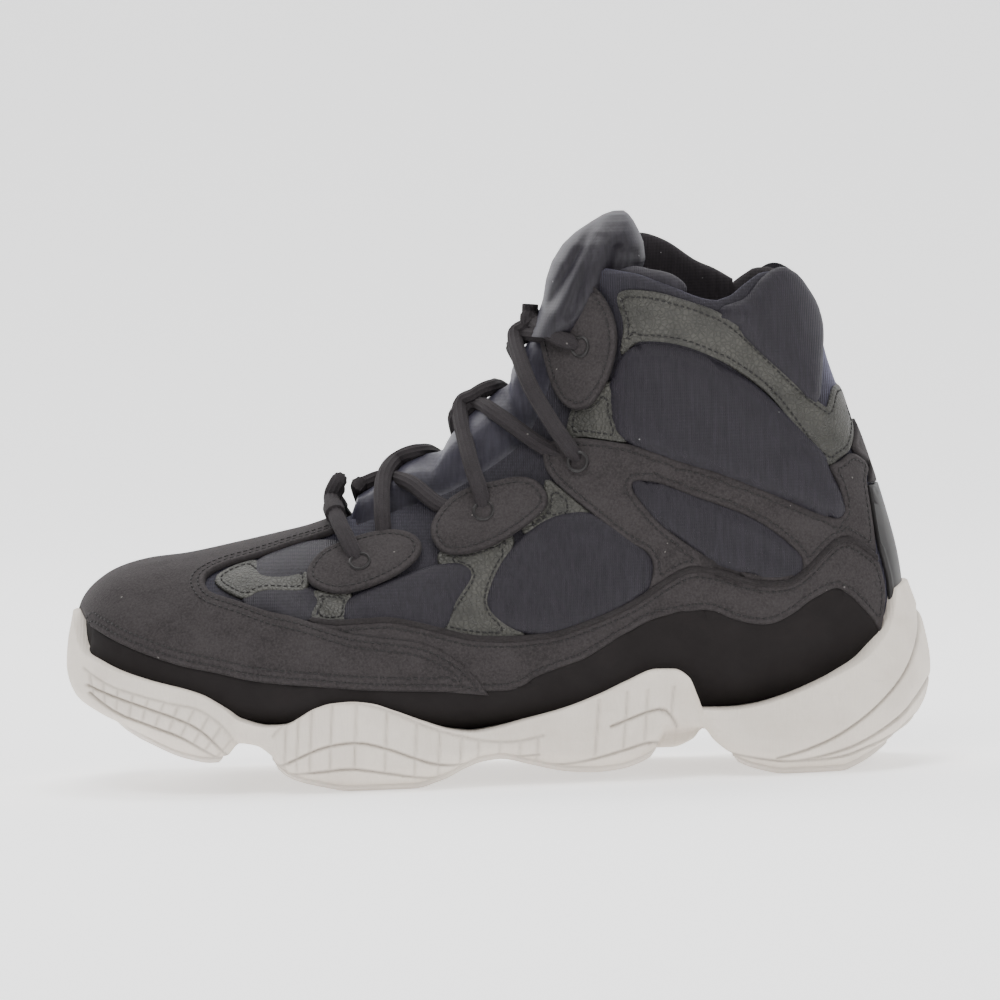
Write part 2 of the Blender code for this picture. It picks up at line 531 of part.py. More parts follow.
def sole_outline():
    """Plan outline: points and outward directions from the toe along the lateral side."""
    knots = sole_knots()
    lateral = [(x * SHOE_LENGTH, -float(sole_half(x, -1))) for x in knots]
    medial = [(x * SHOE_LENGTH, float(sole_half(x, 1))) for x in knots[-2:0:-1]]
    points = np.array(lateral + medial)
    ahead = np.roll(points, -1, axis=0)
    behind = np.roll(points, 1, axis=0)
    along = ahead - behind
    along /= np.linalg.norm(along, axis=1, keepdims=True)
    outward = np.stack([along[:, 1], -along[:, 0]], axis=1)
    return points, outward


def rim_height(x, y):
    """Height of the sole's rim at a plan position, raised in a bumper at the toe."""
    height = share(RIM_LINE, x / SHOE_LENGTH) * SHOE_HEIGHT
    bumper = np.clip(1.3 - np.abs(y - 0.1 * BALL_HALF_WIDTH) / TOE_BUMPER_HALF, 0, 1)
    return height + np.where(x < -0.45 * SHOE_LENGTH, bumper * TOE_BUMPER, 0)


def ground_height(x, y):
    """Height of the tread's underside, with its pods, arch gap and toe spring."""
    lateral = share(GROUND_LINE, x / SHOE_LENGTH)
    medial = share(MEDIAL_GROUND_LINE, x / SHOE_LENGTH)
    return np.where(y > 0, medial, lateral) * SHOE_HEIGHT


def sole_rings():
    """Rings of the sole's side, from the tread to the rim and its inner edge."""
    points, outward = sole_outline()
    x_share = points[:, 0] / SHOE_LENGTH
    toe = np.clip((-0.42 - x_share) / 0.07, 0, 1)
    heel = np.clip((x_share - 0.40) / 0.08, 0, 1)
    turn = TURN_UNDER + (END_TURN_UNDER - TURN_UNDER) * np.maximum(toe, heel)
    lean = TOE_LEAN * toe**2 + HEEL_LEAN * heel**2
    bulge = share(POD_BULGE, x_share) * RIM_WALL
    tread = points - outward * turn[:, None]
    low = ground_height(tread[:, 0], tread[:, 1]) + TREAD_DEPTH
    high = rim_height(points[:, 0], points[:, 1])
    rings = []
    for height, out, under, inward in SIDE_PROFILE:
        plan = points + outward * (bulge * out - turn * under - lean * inward)[:, None]
        rings.append(np.column_stack([plan, low + (high - low) * height]))
    inner = points - outward * (lean + RIM_WALL + RIM_ROOT)[:, None]
    rings.append(np.column_stack([inner, high]))
    return rings


def cross_faces(start, count):
    """Triangles across a ring of the sole, from its lateral to its medial side."""
    faces = []
    for k in range(SOLE_STATIONS):
        near = (start + k, start + k + 1)
        far = (start + (count - k) % count, start + (count - k - 1) % count)
        for corners in ((near[0], near[1], far[1]), (near[0], far[1], far[0])):
            if len(set(corners)) == 3:
                faces.append(corners)
    return faces


def sole_body(name, raised=0.0):
    """Sole before it is hollowed, with its rim raised by a distance."""
    rings = sole_rings()
    rings[-1] = rings[-1] + np.array([0, 0, raised])
    rings[-2] = rings[-2] + np.array([0, 0, raised])
    count = len(rings[0])
    faces = []
    for level in range(len(rings) - 1):
        for k in range(count):
            following = (k + 1) % count
            faces.append((level * count + k, level * count + following,
                          (level + 1) * count + following, (level + 1) * count + k))
    faces += cross_faces(0, count)
    faces += cross_faces((len(rings) - 1) * count, count)
    return make_object(name, np.concatenate(rings), faces)


def build_midsole():
    """Cup sole with its waved rim, hollowed by the last."""
    return combine(sole_body("midsole"), last_solid("last_cutter", CLEARANCE), "DIFFERENCE")


def build_outsole(name, first_share, final_share):
    """Tread pad under one group of the sole's pods."""
    ring = sole_rings()[0]
    count = len(ring)
    knots = sole_knots()
    chosen = [k for k, knot in enumerate(knots) if first_share <= knot <= final_share]
    lateral = [ring[k] for k in chosen]
    medial = [ring[(count - k) % count] for k in chosen]
    if chosen[-1] == SOLE_STATIONS:
        medial.pop()
    if chosen[0] == 0:
        medial.pop(0)
    border = np.array(lateral + medial[::-1])
    middle = border.mean(axis=0)
    inset = border[:, :2] + (middle[:2] - border[:, :2]) * TREAD_CHAMFER_SHARE
    top = border - np.array([0, 0, CLEARANCE])
    base = np.column_stack([inset, border[:, 2] - TREAD_DEPTH])
    size = len(border)
    faces = []
    for k in range(size):
        following = (k + 1) % size
        faces.append((k, following, size + following, size + k))
    left = list(range(len(lateral)))
    right = list(range(size - 1, len(lateral) - 1, -1))
    if chosen[0] == 0:
        right.insert(0, left[0])
    if chosen[-1] == SOLE_STATIONS:
        right.append(left[-1])
    for k in range(len(left) - 1):
        for corners in ((left[k], left[k + 1], right[k + 1]), (left[k], right[k + 1], right[k])):
            if len(set(corners)) == 3:
                faces.append(corners)
                faces.append(tuple(size + corner for corner in corners))
    return make_object(name, np.concatenate([top, base]), faces)


def build_upper():
    """Hollow bootie: walls of real thickness, open at collar, throat and underneath."""
    def keep(row, angle):
        lateral_angle = min(angle, 2 * math.pi - angle)
        if TOE_ROW < row < HEEL_ROW and lateral_angle < share(LOWER_EDGE, row):
            return False
        if row > THROAT_ROW and lateral_angle > throat_angle(row):
            return False
        return True

    rows = last_rows(0.0, COLLAR_ROW)
    thickness = [float(wall_thickness(row)) for row in rows]
    return last_shell("upper", 0.0, [-value for value in thickness], keep)


def build_insole():
    """Sock liner that lies on the footbed inside the upper's turned-in edge."""
    rows = last_rows(3.0, HEEL_ROW - 1.0)
    shares = np.array([-0.74, -0.5, 0.0, 0.5, 0.74])
    rings = np.array([shares * share(LOWER_EDGE, row) for row in rows])
    return strip_shell("insole", rows, rings, np.full(rings.shape, -CLEARANCE),
                       np.full(rings.shape, -CLEARANCE - INSOLE_THICKNESS))


def build_tongue():
    """Padded tongue that fills the throat and stands above the collar."""
    rows = np.concatenate([[THROAT_ROW - 0.6, THROAT_ROW + 0.15],
                           last_rows(THROAT_ROW + 1.0, TONGUE_TOP_ROW)])
    values = section_values(rows)
    half = share(THROAT_HALF, rows) * BALL_HALF_WIDTH
    shares = np.array([-1.0, -0.72, -0.55, -0.30, 0.0, 0.30, 0.55, 0.72, 1.0])
    reach = half + TONGUE_TUCK
    across = shares[None, :] * reach[:, None]
    width = values["lateral"][:, None] * BALL_HALF_WIDTH
    lean = np.arcsin(np.clip(np.abs(across) / width, 0, 0.985) ** (values["high"][:, None] / 2))
    rings = math.pi + np.sign(across) * lean
    inside = np.abs(across) / np.maximum(half - 0.002, 0.001)[:, None]
    puff = np.clip((1.0 - inside) / 0.45, 0, 1)
    puff = puff * puff * (3 - 2 * puff)
    tucked = -(wall_thickness(rows)[:, None] + TONGUE_GAP)
    start = np.clip((rows - THROAT_ROW - 0.15) / 0.85, 0, 1)[:, None]
    outer = tucked + (TONGUE_PUFF - tucked) * puff * start
    top = np.clip((rows - 17.0) / 6.0, 0, 1)[:, None]
    thickness = TONGUE_THICKNESS + (TONGUE_TOP_THICKNESS - TONGUE_THICKNESS) * top
    edge = 1 - 0.65 * np.abs(shares[None, :]) ** 3
    inner = np.minimum(tucked, 0) - thickness * edge * (0.45 + 0.55 * top)
    return strip_shell("tongue", rows, rings, outer, inner)


# Overlays
def side_prism(name, outline, near, far):
    """Prism along Y over an outline given in shares of the shoe's length and height."""
    size = len(outline)
    points = [(x * SHOE_LENGTH, y, z * SHOE_HEIGHT) for y in (near, far) for x, z in outline]
    faces = [tuple(range(size)), tuple(range(2 * size - 1, size - 1, -1))]
    for k in range(size):
        following = (k + 1) % size
        faces.append((k, following, size + following, size + k))
    return make_object(name, points, faces)


def shell_near(name, outline, side, lift):
    """Shell of the last over an outline's surroundings, one overlay thick."""
    xs = [x * SHOE_LENGTH for x, z in outline]
    zs = [z * SHOE_HEIGHT for x, z in outline]

    def keep(row, angle):
        lateral_angle = min(angle, 2 * math.pi - angle)
        if TOE_ROW < row < HEEL_ROW and lateral_angle < share(LOWER_EDGE, row):
            return False
        x, y, z = last_surface(row, angle)
        if side and y * side < -0.5 * CUT_MARGIN:
            return False
        return (min(xs) - CUT_MARGIN < x < max(xs) + CUT_MARGIN
                and min(zs) - CUT_MARGIN < z < max(zs) + CUT_MARGIN)

    return last_shell(name, lift + OVERLAY, lift, keep)


def overlay(name, outline, side, lift=CLEARANCE, holes=(), meets_sole=False,
            margin=THROAT_MARGIN):
    """Overlay cut between two larger forms of the last: side is -1, 1 or 0 for both."""
    item = shell_near(name, outline, side, lift)
    near, far = (side * margin, side * BEYOND) if side else (-BEYOND, BEYOND)
    combine(item, side_prism("outline", outline, near, far), "INTERSECT")
    for hole in holes:
        combine(item, side_prism("window", hole, near, far), "DIFFERENCE")
    if meets_sole:
        combine(item, sole_body("sole_cutter", SEAM_GAP), "DIFFERENCE")
    return largest_body(item)


def raised(line, lift):
    """A line of an outline moved up by a share of the shoe's height."""
    return tuple((x, z + lift) for x, z in line)


def build_bands():
    """Mudguard, suede overlay and heel strip, which pass round toe or heel."""
    mudguard = MUD_LINE + ((0.436, 0.05), (-0.52, 0.05))
    suede = (raised(MUD_LINE, 0.003) + HEEL_STRIP_END + SUEDE_LINE + VAMP_STRIP
             + ((-0.150, 0.60), (-0.52, 0.60)))
    strip = tuple((x + 0.002, z) for x, z in HEEL_STRIP_FRONT) + ((0.52, 0.2), (0.52, 0.492))
    for side, word in SIDES:
        band = overlay("mudguard_" + word, mudguard, side, meets_sole=True, margin=SEAM_GAP)
        finish(band, NUBUCK)
    finish(overlay("suede_overlay", suede, 0, meets_sole=True), SUEDE)
    finish(overlay("heel_strip", strip, 0, meets_sole=True), NUBUCK)
    finish(overlay("heel_back", HEEL_BACK, 0), SUEDE)


def build_side(side, word):
    """Star piece, eyelet tabs, collar band and leather of one side."""
    star = overlay("star_" + word, STAR, side, holes=(STAR_WINDOW,))
    finish(star, SUEDE)
    finish(overlay("collar_band_" + word, COLLAR_BAND, side), LEATHER)
    for name, outline in VAMP_LEATHER.items():
        finish(overlay(name + "_" + word, outline, side), LEATHER)
    for name, outline in EYELET_TABS.items():
        finish(overlay(name + "_" + word, outline, side, lift=TAB_LIFT), SUEDE)


# Lace
def place_on_side(x_share, z_share):
    """Row and angle of the lateral side's point at a place of the side view."""
    rows, angles = np.meshgrid(np.linspace(2, COLLAR_ROW, 331), np.linspace(0.5, 3.1, 261),
                               indexing="ij")
    points = last_surface(rows, angles)
    distance = ((points[..., 0] - x_share * SHOE_LENGTH) ** 2
                + (points[..., 2] - z_share * SHOE_HEIGHT) ** 2)
    best = np.unravel_index(np.argmin(distance), distance.shape)
    return float(rows[best]), float(angles[best])


def tube(name, points, radius):
    """Closed round tube through points, as a curve turned into a mesh."""
    curve = bpy.data.curves.new(name, "CURVE")
    curve.dimensions = "3D"
    curve.bevel_depth = radius
    curve.bevel_resolution = 2
    curve.use_fill_caps = True
    spline = curve.splines.new("POLY")
    spline.points.add(len(points) - 1)
    for point, place in zip(spline.points, points):
        point.co = (*place, 1)
    item = bpy.data.objects.new(name, curve)
    bpy.context.scene.collection.objects.link(item)
    graph = bpy.context.evaluated_depsgraph_get()
    mesh = bpy.data.meshes.new_from_object(item.evaluated_get(graph))
    bpy.data.objects.remove(item)
    model = bmesh.new()
    model.from_mesh(mesh)
    bmesh.ops.remove_doubles(model, verts=model.verts, dist=1e-6)
    bmesh.ops.recalc_face_normals(model, faces=model.faces)
    model.to_mesh(mesh)
    model.free()
    result = bpy.data.objects.new(name, mesh)
    bpy.context.scene.collection.objects.link(result)
    return result


def crossing(start, end, steps=7):
    """Points of a lace from a lateral eyelet over the tongue to a medial one."""
    share_along = np.linspace(0, 1, steps + 1)
    rows = start[0] + (end[0] - start[0]) * share_along
    angles = start[1] + (end[1] - start[1]) * share_along
    middle = np.sin(math.pi * share_along)
    low = TAB_LIFT + OVERLAY + LACE_RADIUS + CLEARANCE
    high = TONGUE_PUFF + LACE_RADIUS + LACE_REST
    return last_point(rows, angles, low + (high - low) * middle**0.7)


def toe_bar(eyelet):
    """Points of the lace's first bar, from the second eyelets through the toe loop."""
    row, angle = eyelet
    share_along = np.linspace(0, 1, 13)
    middle = np.sin(math.pi * share_along) ** 0.8
    angles = angle + (2 * math.pi - 2 * angle) * share_along
    rows = row + (TOE_LOOP_ROW - row) * middle
    low = TAB_LIFT + OVERLAY + LACE_RADIUS + CLEARANCE
    high = TOE_LOOP_SEAT + TOE_LOOP_WALL + LACE_RADIUS + SEAM_GAP
    return last_point(rows, angles, low + (high - low) * middle)


def build_lace():
    """Lace bars and crossings over the tongue, joined into one solid."""
    places = [place_on_side(x, z) for x, z in EYELETS]
    mirrored = [(row, 2 * math.pi - angle) for row, angle in places]
    lace = tube("lace", toe_bar(places[0]), LACE_RADIUS)
    for k in range(len(places) - 1):
        for start, end in ((places[k], mirrored[k + 1]), (mirrored[k], places[k + 1])):
            combine(lace, tube("lace_piece", crossing(start, end), LACE_RADIUS), "UNION")
    return lace


def build_toe_loop():
    """Ring at the front of the throat that holds the lace's first bar."""
    inner = LACE_RADIUS + SEAM_GAP
    outer = inner + TOE_LOOP_WALL
    centre = last_point(TOE_LOOP_ROW, math.pi, np.array(TOE_LOOP_SEAT + outer))
    sides = 20
    vertices = []
    for y in (-TOE_LOOP_WIDTH / 2, TOE_LOOP_WIDTH / 2):
        for radius in (outer, inner):
            for k in range(sides):
                turn = 2 * math.pi * k / sides
                vertices.append((centre[0] + radius * math.cos(turn), y,
                                 centre[2] + radius * math.sin(turn)))
    faces = []
    for k in range(sides):
        following = (k + 1) % sides
        for a, b in ((0, 1), (1, 3), (3, 2), (2, 0)):
            faces.append((a * sides + k, a * sides + following, b * sides + following, b * sides + k))
    return make_object("toe_loop", vertices, faces)


def main():
    """Build every piece of the shoe."""
    for item in list(bpy.data.objects):
        bpy.data.objects.remove(item)
    finish(build_midsole(), FOAM)
    for name, (first_share, final_share) in OUTSOLE_PADS.items():
        finish(build_outsole(name, first_share, final_share), TREAD)
    finish(build_upper(), NYLON)
    finish(build_insole(), LINING)
    finish(build_tongue(), SATIN)
    build_bands()
    for side, word in SIDES:
        build_side(side, word)
    finish(build_toe_loop(), SUEDE)
    finish(build_lace(), CORD)


main()
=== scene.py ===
# %% [markdown]
# # A padded high-top sneaker
# The shoe is built the way a maker lasts one. A wooden last gives the foot's form, and
# every wall, panel and strap is laid over it. Here the last is one smooth function, and
# each panel is a mesh stretched over that function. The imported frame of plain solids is
# loaded first, because every finished piece has to sit where its solid sits.

# %% Load the frame
import math

import bmesh
import bpy
import numpy as np
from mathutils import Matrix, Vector, geometry, kdtree


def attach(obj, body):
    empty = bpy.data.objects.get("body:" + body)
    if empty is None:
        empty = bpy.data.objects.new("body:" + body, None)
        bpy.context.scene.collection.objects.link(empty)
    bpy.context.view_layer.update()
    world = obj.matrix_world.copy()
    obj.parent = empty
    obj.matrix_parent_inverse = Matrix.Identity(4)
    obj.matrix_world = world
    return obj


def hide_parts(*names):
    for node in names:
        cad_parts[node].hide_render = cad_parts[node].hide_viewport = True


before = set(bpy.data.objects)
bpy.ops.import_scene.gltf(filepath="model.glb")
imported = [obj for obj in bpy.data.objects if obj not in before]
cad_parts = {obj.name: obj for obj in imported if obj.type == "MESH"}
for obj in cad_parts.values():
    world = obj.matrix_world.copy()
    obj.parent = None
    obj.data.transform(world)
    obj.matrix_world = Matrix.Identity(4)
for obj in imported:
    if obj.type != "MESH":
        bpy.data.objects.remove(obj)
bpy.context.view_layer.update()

# %% [markdown]
# ## The camera and the room
# The photograph was taken from the outer side with a long lens, a little above the floor,
# and the picture is turned by about two degrees. A long lens keeps the outline true. The
# floor and light are plain, so that the dark suede and the pale sole both read well.

# %% Camera, floor and lights
MM = 0.001
PIXEL = 0.3525 * MM
PICTURE = 1000
VIEW_CENTRE = (2.6 * MM, 96.6 * MM)
CAMERA_DISTANCE = 2.5
CAMERA_RISE = math.radians(3.5)
CAMERA_ROLL = math.radians(-1.87)
SENSOR = 36.0


def add_camera():
    """Long lens at the outer side, rolled as the photograph is."""
    data = bpy.data.cameras.new("camera")
    data.sensor_width = SENSOR
    data.lens = SENSOR * CAMERA_DISTANCE / (PIXEL * PICTURE)
    camera = bpy.data.objects.new("camera", data)
    bpy.context.scene.collection.objects.link(camera)
    target = Vector((VIEW_CENTRE[0], 0, VIEW_CENTRE[1]))
    away = Vector((0, -math.cos(CAMERA_RISE), math.sin(CAMERA_RISE)))
    camera.location = target + away * CAMERA_DISTANCE
    camera.rotation_euler = (-away).to_track_quat("-Z", "Y").to_euler()
    camera.rotation_euler.rotate_axis("Z", CAMERA_ROLL)
    bpy.context.scene.camera = camera


def add_light(name, place, size, power):
    """Soft square white lamp that looks at the shoe."""
    data = bpy.data.lights.new(name, "AREA")
    data.size = size
    data.energy = power
    lamp = bpy.data.objects.new(name, data)
    lamp.location = place
    lamp.rotation_euler = (Vector((0, 0, 0.08)) - Vector(place)).to_track_quat("-Z", "Y").to_euler()
    bpy.context.scene.collection.objects.link(lamp)


def add_floor():
    """Pale seamless floor that curves up behind the shoe."""
    reach, back, bend = 6.0, 2.6, 1.4
    profile = [(-reach, 0.0), (back - bend, 0.0)]
    profile += [(back - bend + bend * math.sin(turn), bend - bend * math.cos(turn))
                for turn in np.linspace(0.05, math.pi / 2, 24)]
    profile.append((back, reach))
    vertices = [(x, y, z) for y, z in profile for x in (-reach, reach)]
    faces = [(2 * k, 2 * k + 1, 2 * k + 3, 2 * k + 2) for k in range(len(profile) - 1)]
    mesh = bpy.data.meshes.new("floor")
    mesh.from_pydata(vertices, [], faces)
    mesh.shade_smooth()
    floor = bpy.data.objects.new("floor", mesh)
    bpy.context.scene.collection.objects.link(floor)
    material = bpy.data.materials.new("pale floor")
    material.use_nodes = True
    shader = material.node_tree.nodes["Principled BSDF"]
    shader.inputs["Base Color"].default_value = (0.93, 0.93, 0.935, 1)
    shader.inputs["Roughness"].default_value = 0.85
    shader.inputs["Specular IOR Level"].default_value = 0.2
    shader.inputs["Emission Color"].default_value = (1, 1, 1, 1)
    shader.inputs["Emission Strength"].default_value = 0.7
    mesh.materials.append(material)


def add_world():
    """Even white surroundings, as in a product booth."""
    world = bpy.data.worlds.new("booth")
    world.use_nodes = True
    world.node_tree.nodes["Background"].inputs["Color"].default_value = (1, 1, 1, 1)
    world.node_tree.nodes["Background"].inputs["Strength"].default_value = 0.5
    bpy.context.scene.world = world


add_camera()
add_floor()
add_world()
add_light("key", (-0.5, -1.1, 1.9), 0.9, 26)
add_light("fill", (1.3, -1.2, 1.1), 1.2, 12)
add_light("top", (0.1, 0.3, 1.9), 1.1, 26)
add_light("back", (-1.0, 1.0, 1.0), 0.8, 8)
print("camera and lights placed")

# %% [markdown]
# ## The last
# A last is hard to draw and easy to describe: a row of sections from the toe to the
# collar. Each section is a rounded outline with a back end, a front end, a width to each
# side and a roundness. A smooth curve through the rows gives the form between them, so
# every point of the shoe has two numbers: its row, and its angle round the section.
# Lengths and heights are shares of the shoe's length and height, widths of the ball's.

# %% Sizes and sections of the last
SHOE_LENGTH = 0.305
SHOE_HEIGHT = 0.200
SIDE_SIZE = np.array([SHOE_LENGTH, SHOE_HEIGHT])
BALL_HALF_WIDTH = 0.054
WALL = 0.0022
COLLAR_PADDING = 0.0050
COLLAR_ROW = 24.0
THROAT_ROW = 9.0
SIDES = ((-1, "lateral"), (1, "medial"))
BOTH = (-1, 1)
SECTION_COLUMNS = ("back_x", "back_z", "front_x", "front_z", "lateral", "medial", "swing",
                   "widest", "low", "high")
SECTIONS = (
    (-0.476, 0.248, -0.477, 0.305, 0.14, 0.15, 0.12, 0.45, 2.2, 2.2),
    (-0.472, 0.212, -0.471, 0.328, 0.35, 0.34, 0.12, 0.42, 2.4, 2.2),
    (-0.460, 0.182, -0.458, 0.350, 0.54, 0.51, 0.12, 0.38, 2.8, 2.2),
    (-0.437, 0.158, -0.435, 0.372, 0.71, 0.67, 0.11, 0.35, 3.2, 2.2),
    (-0.400, 0.138, -0.400, 0.387, 0.84, 0.79, 0.10, 0.32, 3.6, 2.2),
    (-0.348, 0.122, -0.352, 0.395, 0.93, 0.88, 0.08, 0.30, 4.0, 2.2),
    (-0.288, 0.110, -0.300, 0.410, 0.98, 0.93, 0.06, 0.29, 4.0, 2.15),
    (-0.222, 0.101, -0.252, 0.425, 1.00, 0.96, 0.04, 0.28, 4.0, 2.1),
    (-0.150, 0.095, -0.204, 0.442, 0.98, 0.95, 0.02, 0.28, 4.0, 2.0),
    (-0.078, 0.092, -0.157, 0.470, 0.94, 0.88, 0.00, 0.28, 4.0, 1.95),
    (0.000, 0.092, -0.111, 0.508, 0.88, 0.80, 0.00, 0.28, 3.8, 1.9),
    (0.086, 0.094, -0.066, 0.552, 0.82, 0.74, 0.00, 0.29, 3.8, 1.9),
    (0.178, 0.099, -0.023, 0.600, 0.77, 0.71, 0.00, 0.31, 3.7, 1.95),
    (0.276, 0.105, 0.012, 0.650, 0.74, 0.70, 0.00, 0.34, 3.5, 2.0),
    (0.367, 0.115, 0.036, 0.700, 0.72, 0.70, 0.00, 0.38, 3.0, 2.1),
    (0.430, 0.146, 0.056, 0.745, 0.71, 0.70, 0.00, 0.42, 2.6, 2.2),
    (0.456, 0.205, 0.071, 0.780, 0.70, 0.70, 0.00, 0.45, 2.5, 2.2),
    (0.464, 0.280, 0.079, 0.808, 0.70, 0.70, 0.00, 0.47, 2.4, 2.2),
    (0.460, 0.362, 0.086, 0.832, 0.70, 0.70, 0.00, 0.48, 2.4, 2.2),
    (0.446, 0.455, 0.091, 0.850, 0.70, 0.70, 0.00, 0.49, 2.3, 2.2),
    (0.428, 0.548, 0.095, 0.864, 0.69, 0.69, 0.00, 0.50, 2.3, 2.2),
    (0.408, 0.635, 0.098, 0.874, 0.69, 0.69, 0.00, 0.50, 2.3, 2.2),
    (0.391, 0.712, 0.100, 0.882, 0.69, 0.69, 0.00, 0.50, 2.3, 2.2),
    (0.382, 0.775, 0.102, 0.890, 0.70, 0.70, 0.00, 0.50, 2.3, 2.2),
    (0.371, 0.835, 0.104, 0.898, 0.71, 0.71, 0.00, 0.50, 2.3, 2.2),
    (0.372, 0.880, 0.114, 0.925, 0.71, 0.71, 0.00, 0.50, 2.3, 2.2),
    (0.372, 0.920, 0.130, 0.950, 0.71, 0.71, 0.00, 0.50, 2.3, 2.2),
    (0.372, 0.955, 0.148, 0.968, 0.71, 0.71, 0.00, 0.50, 2.3, 2.2),
)
# Lift of the collar line, from the heel (0) to the front (1), as shares of SHOE_HEIGHT
COLLAR_DIP = ((0.0, 0.010), (0.06, 0.020), (0.13, 0.026), (0.20, 0.020), (0.27, -0.002),
              (0.34, -0.028), (0.41, -0.041), (0.49, -0.038), (0.60, -0.024), (0.75, -0.008),
              (1.0, 0.0))
# Half of the throat's opening, the inturned lower edge and the collar's padding, by row
THROAT_HALF = ((8.0, 0.24), (9.0, 0.30), (11.0, 0.40), (13.0, 0.40), (15.0, 0.33), (17.0, 0.28),
               (24.0, 0.27), (27.0, 0.27))
LOWER_EDGE = ((0.0, 0.95), (2.0, 0.80), (4.0, 0.68), (9.0, 0.66), (11.0, 0.55), (14.0, 0.45),
              (18.0, 0.40), (27.0, 0.40))
PADDING = ((0.0, 0.0), (15.0, 0.0), (19.0, 0.35), (22.0, 0.9), (24.0, 0.55), (27.0, 0.55))
print(len(SECTIONS), "sections, shoe", SHOE_LENGTH, "m long")

# %% [markdown]
# ## Points on the last
# One function turns a row and an angle into a point, and a second one finds the outward
# direction there. Listed creases are added as soft troughs and ridges in the shoe's
# own sizes, so that every layer that is laid over the last wrinkles with it.

# %% The last as a function
def share(table, key):
    """Value of a two-column table at a key, with straight lines between its rows."""
    return np.interp(key, [row[0] for row in table], [row[1] for row in table])


def eased(value):
    """Share from 0 to 1 with a soft start and end."""
    return value * value * (3 - 2 * value)


def signed_power(value, power):
    """Power of a value's size, with its sign kept."""
    return np.sign(value) * np.abs(value) ** power


def on_side(angle, side):
    """Angle of the lateral side (-1), or its mirror image on the medial side (1)."""
    return angle if side < 0 else 2 * math.pi - angle


def section_values(row):
    """Columns of SECTIONS at any row number, on a smooth curve through the rows."""
    table = np.array(SECTIONS)
    row = np.clip(np.asarray(row, dtype=float), -0.5, len(table) - 0.5)
    low = np.clip(np.floor(row).astype(int), 0, len(table) - 2)
    part = (row - low)[..., None]
    before = table[np.clip(low - 1, 0, None)]
    start = table[low]
    end = table[low + 1]
    after = table[np.clip(low + 2, None, len(table) - 1)]
    tangent_start = (end - before) / 2
    tangent_end = (after - start) / 2
    curve = ((2 * part**3 - 3 * part**2 + 1) * start + (part**3 - 2 * part**2 + part) * tangent_start
             + (-2 * part**3 + 3 * part**2) * end + (part**3 - part**2) * tangent_end)
    return {name: curve[..., index] for index, name in enumerate(SECTION_COLUMNS)}


def dip_blend(row):
    """How far the collar's dip is felt at a row."""
    return np.clip((row - 19.5) / 4.5, 0, 1) * np.clip((27.5 - row) / 3.5, 0, 1)


def last_surface(row, angle):
    """Point of the last: angle 0 is the back or bottom, pi the front, lateral side first."""
    row = np.asarray(row, dtype=float)
    angle = np.mod(np.asarray(angle, dtype=float), 2 * math.pi)
    values = section_values(row)
    cosine = np.cos(angle)
    below = cosine > 0
    power = np.where(below, values["low"], values["high"])
    out = np.maximum(np.abs(np.sin(angle)), 1e-9) ** (2 / power)
    reach = np.abs(cosine) ** (2 / power)
    along = np.where(below, values["widest"] * (1 - reach),
                     values["widest"] + (1 - values["widest"]) * reach)
    half = np.where(angle < math.pi, -values["lateral"], values["medial"]) * BALL_HALF_WIDTH
    x = (values["back_x"] + (values["front_x"] - values["back_x"]) * along) * SHOE_LENGTH
    z = (values["back_z"] + (values["front_z"] - values["back_z"]) * along) * SHOE_HEIGHT
    z = z + share(COLLAR_DIP, along) * SHOE_HEIGHT * dip_blend(row)
    y = values["swing"] * BALL_HALF_WIDTH + half * out
    return np.stack([x, y, z], axis=-1)


def last_normal(row, angle):
    """Outward direction of the last, from neighbouring points of its surface."""
    row = np.asarray(row, dtype=float)
    angle = np.asarray(angle, dtype=float)
    across = last_surface(row, angle + 0.11) - last_surface(row, angle - 0.11)
    onward = last_surface(np.minimum(row + 0.35, 27.4), angle) - last_surface(row - 0.35, angle)
    normal = np.cross(onward, across)
    return normal / np.maximum(np.linalg.norm(normal, axis=-1, keepdims=True), 1e-12)


# %% Listed creases
# Each crease: start x, z and end x, z in mm on the side view, half width and depth in mm.
# It runs on both sides of the shoe, and a negative depth is a ridge.
CREASES = (
    (-72, 74, -46, 46, 3.2, 0.9), (-60, 76, -36, 50, 2.6, 0.6), (-88, 70, -66, 44, 3.5, 0.7),
    (-106, 62, -96, 46, 4.0, 0.5), (-80, 70, -58, 46, 2.4, -0.5), (10, 92, 40, 60, 4.0, 0.6),
    (84, 84, 118, 66, 3.6, 0.7), (90, 96, 124, 88, 3.0, 0.6), (96, 112, 122, 118, 3.0, 0.7),
    (60, 70, 92, 58, 5.0, 0.5), (-24, 58, 20, 46, 4.0, 0.45), (104, 60, 128, 54, 3.0, 0.6))


def crease_depth(points):
    """Inward depth of the listed troughs and ridges at points of the surface."""
    depth = np.zeros(points.shape[:-1])
    for x0, z0, x1, z1, width, deep in CREASES:
        start = np.array([x0, z0]) * MM
        run = np.array([x1 - x0, z1 - z0]) * MM
        flat = points[..., [0, 2]] - start
        where = np.clip((flat @ run) / (run @ run), 0, 1)
        away = np.linalg.norm(flat - where[..., None] * run, axis=-1)
        fade = np.sin(math.pi * (0.12 + 0.76 * where))
        depth += deep * MM * fade * np.exp(-(away / (width * MM)) ** 2)
    return depth


def last_point(row, angle, offset=0.0):
    """Point at a distance outside the creased last."""
    surface = last_surface(row, angle)
    offset = np.broadcast_to(np.asarray(offset, dtype=float), surface.shape[:-1])
    offset = offset - crease_depth(surface)
    return surface + last_normal(row, angle) * offset[..., None]


def throat_angle(row):
    """Angle at which a section meets the edge of the throat, on either side."""
    values = section_values(row)
    half = share(THROAT_HALF, row)
    return math.pi - np.arcsin(np.clip(half / values["lateral"], 0, 1) ** (values["high"] / 2))


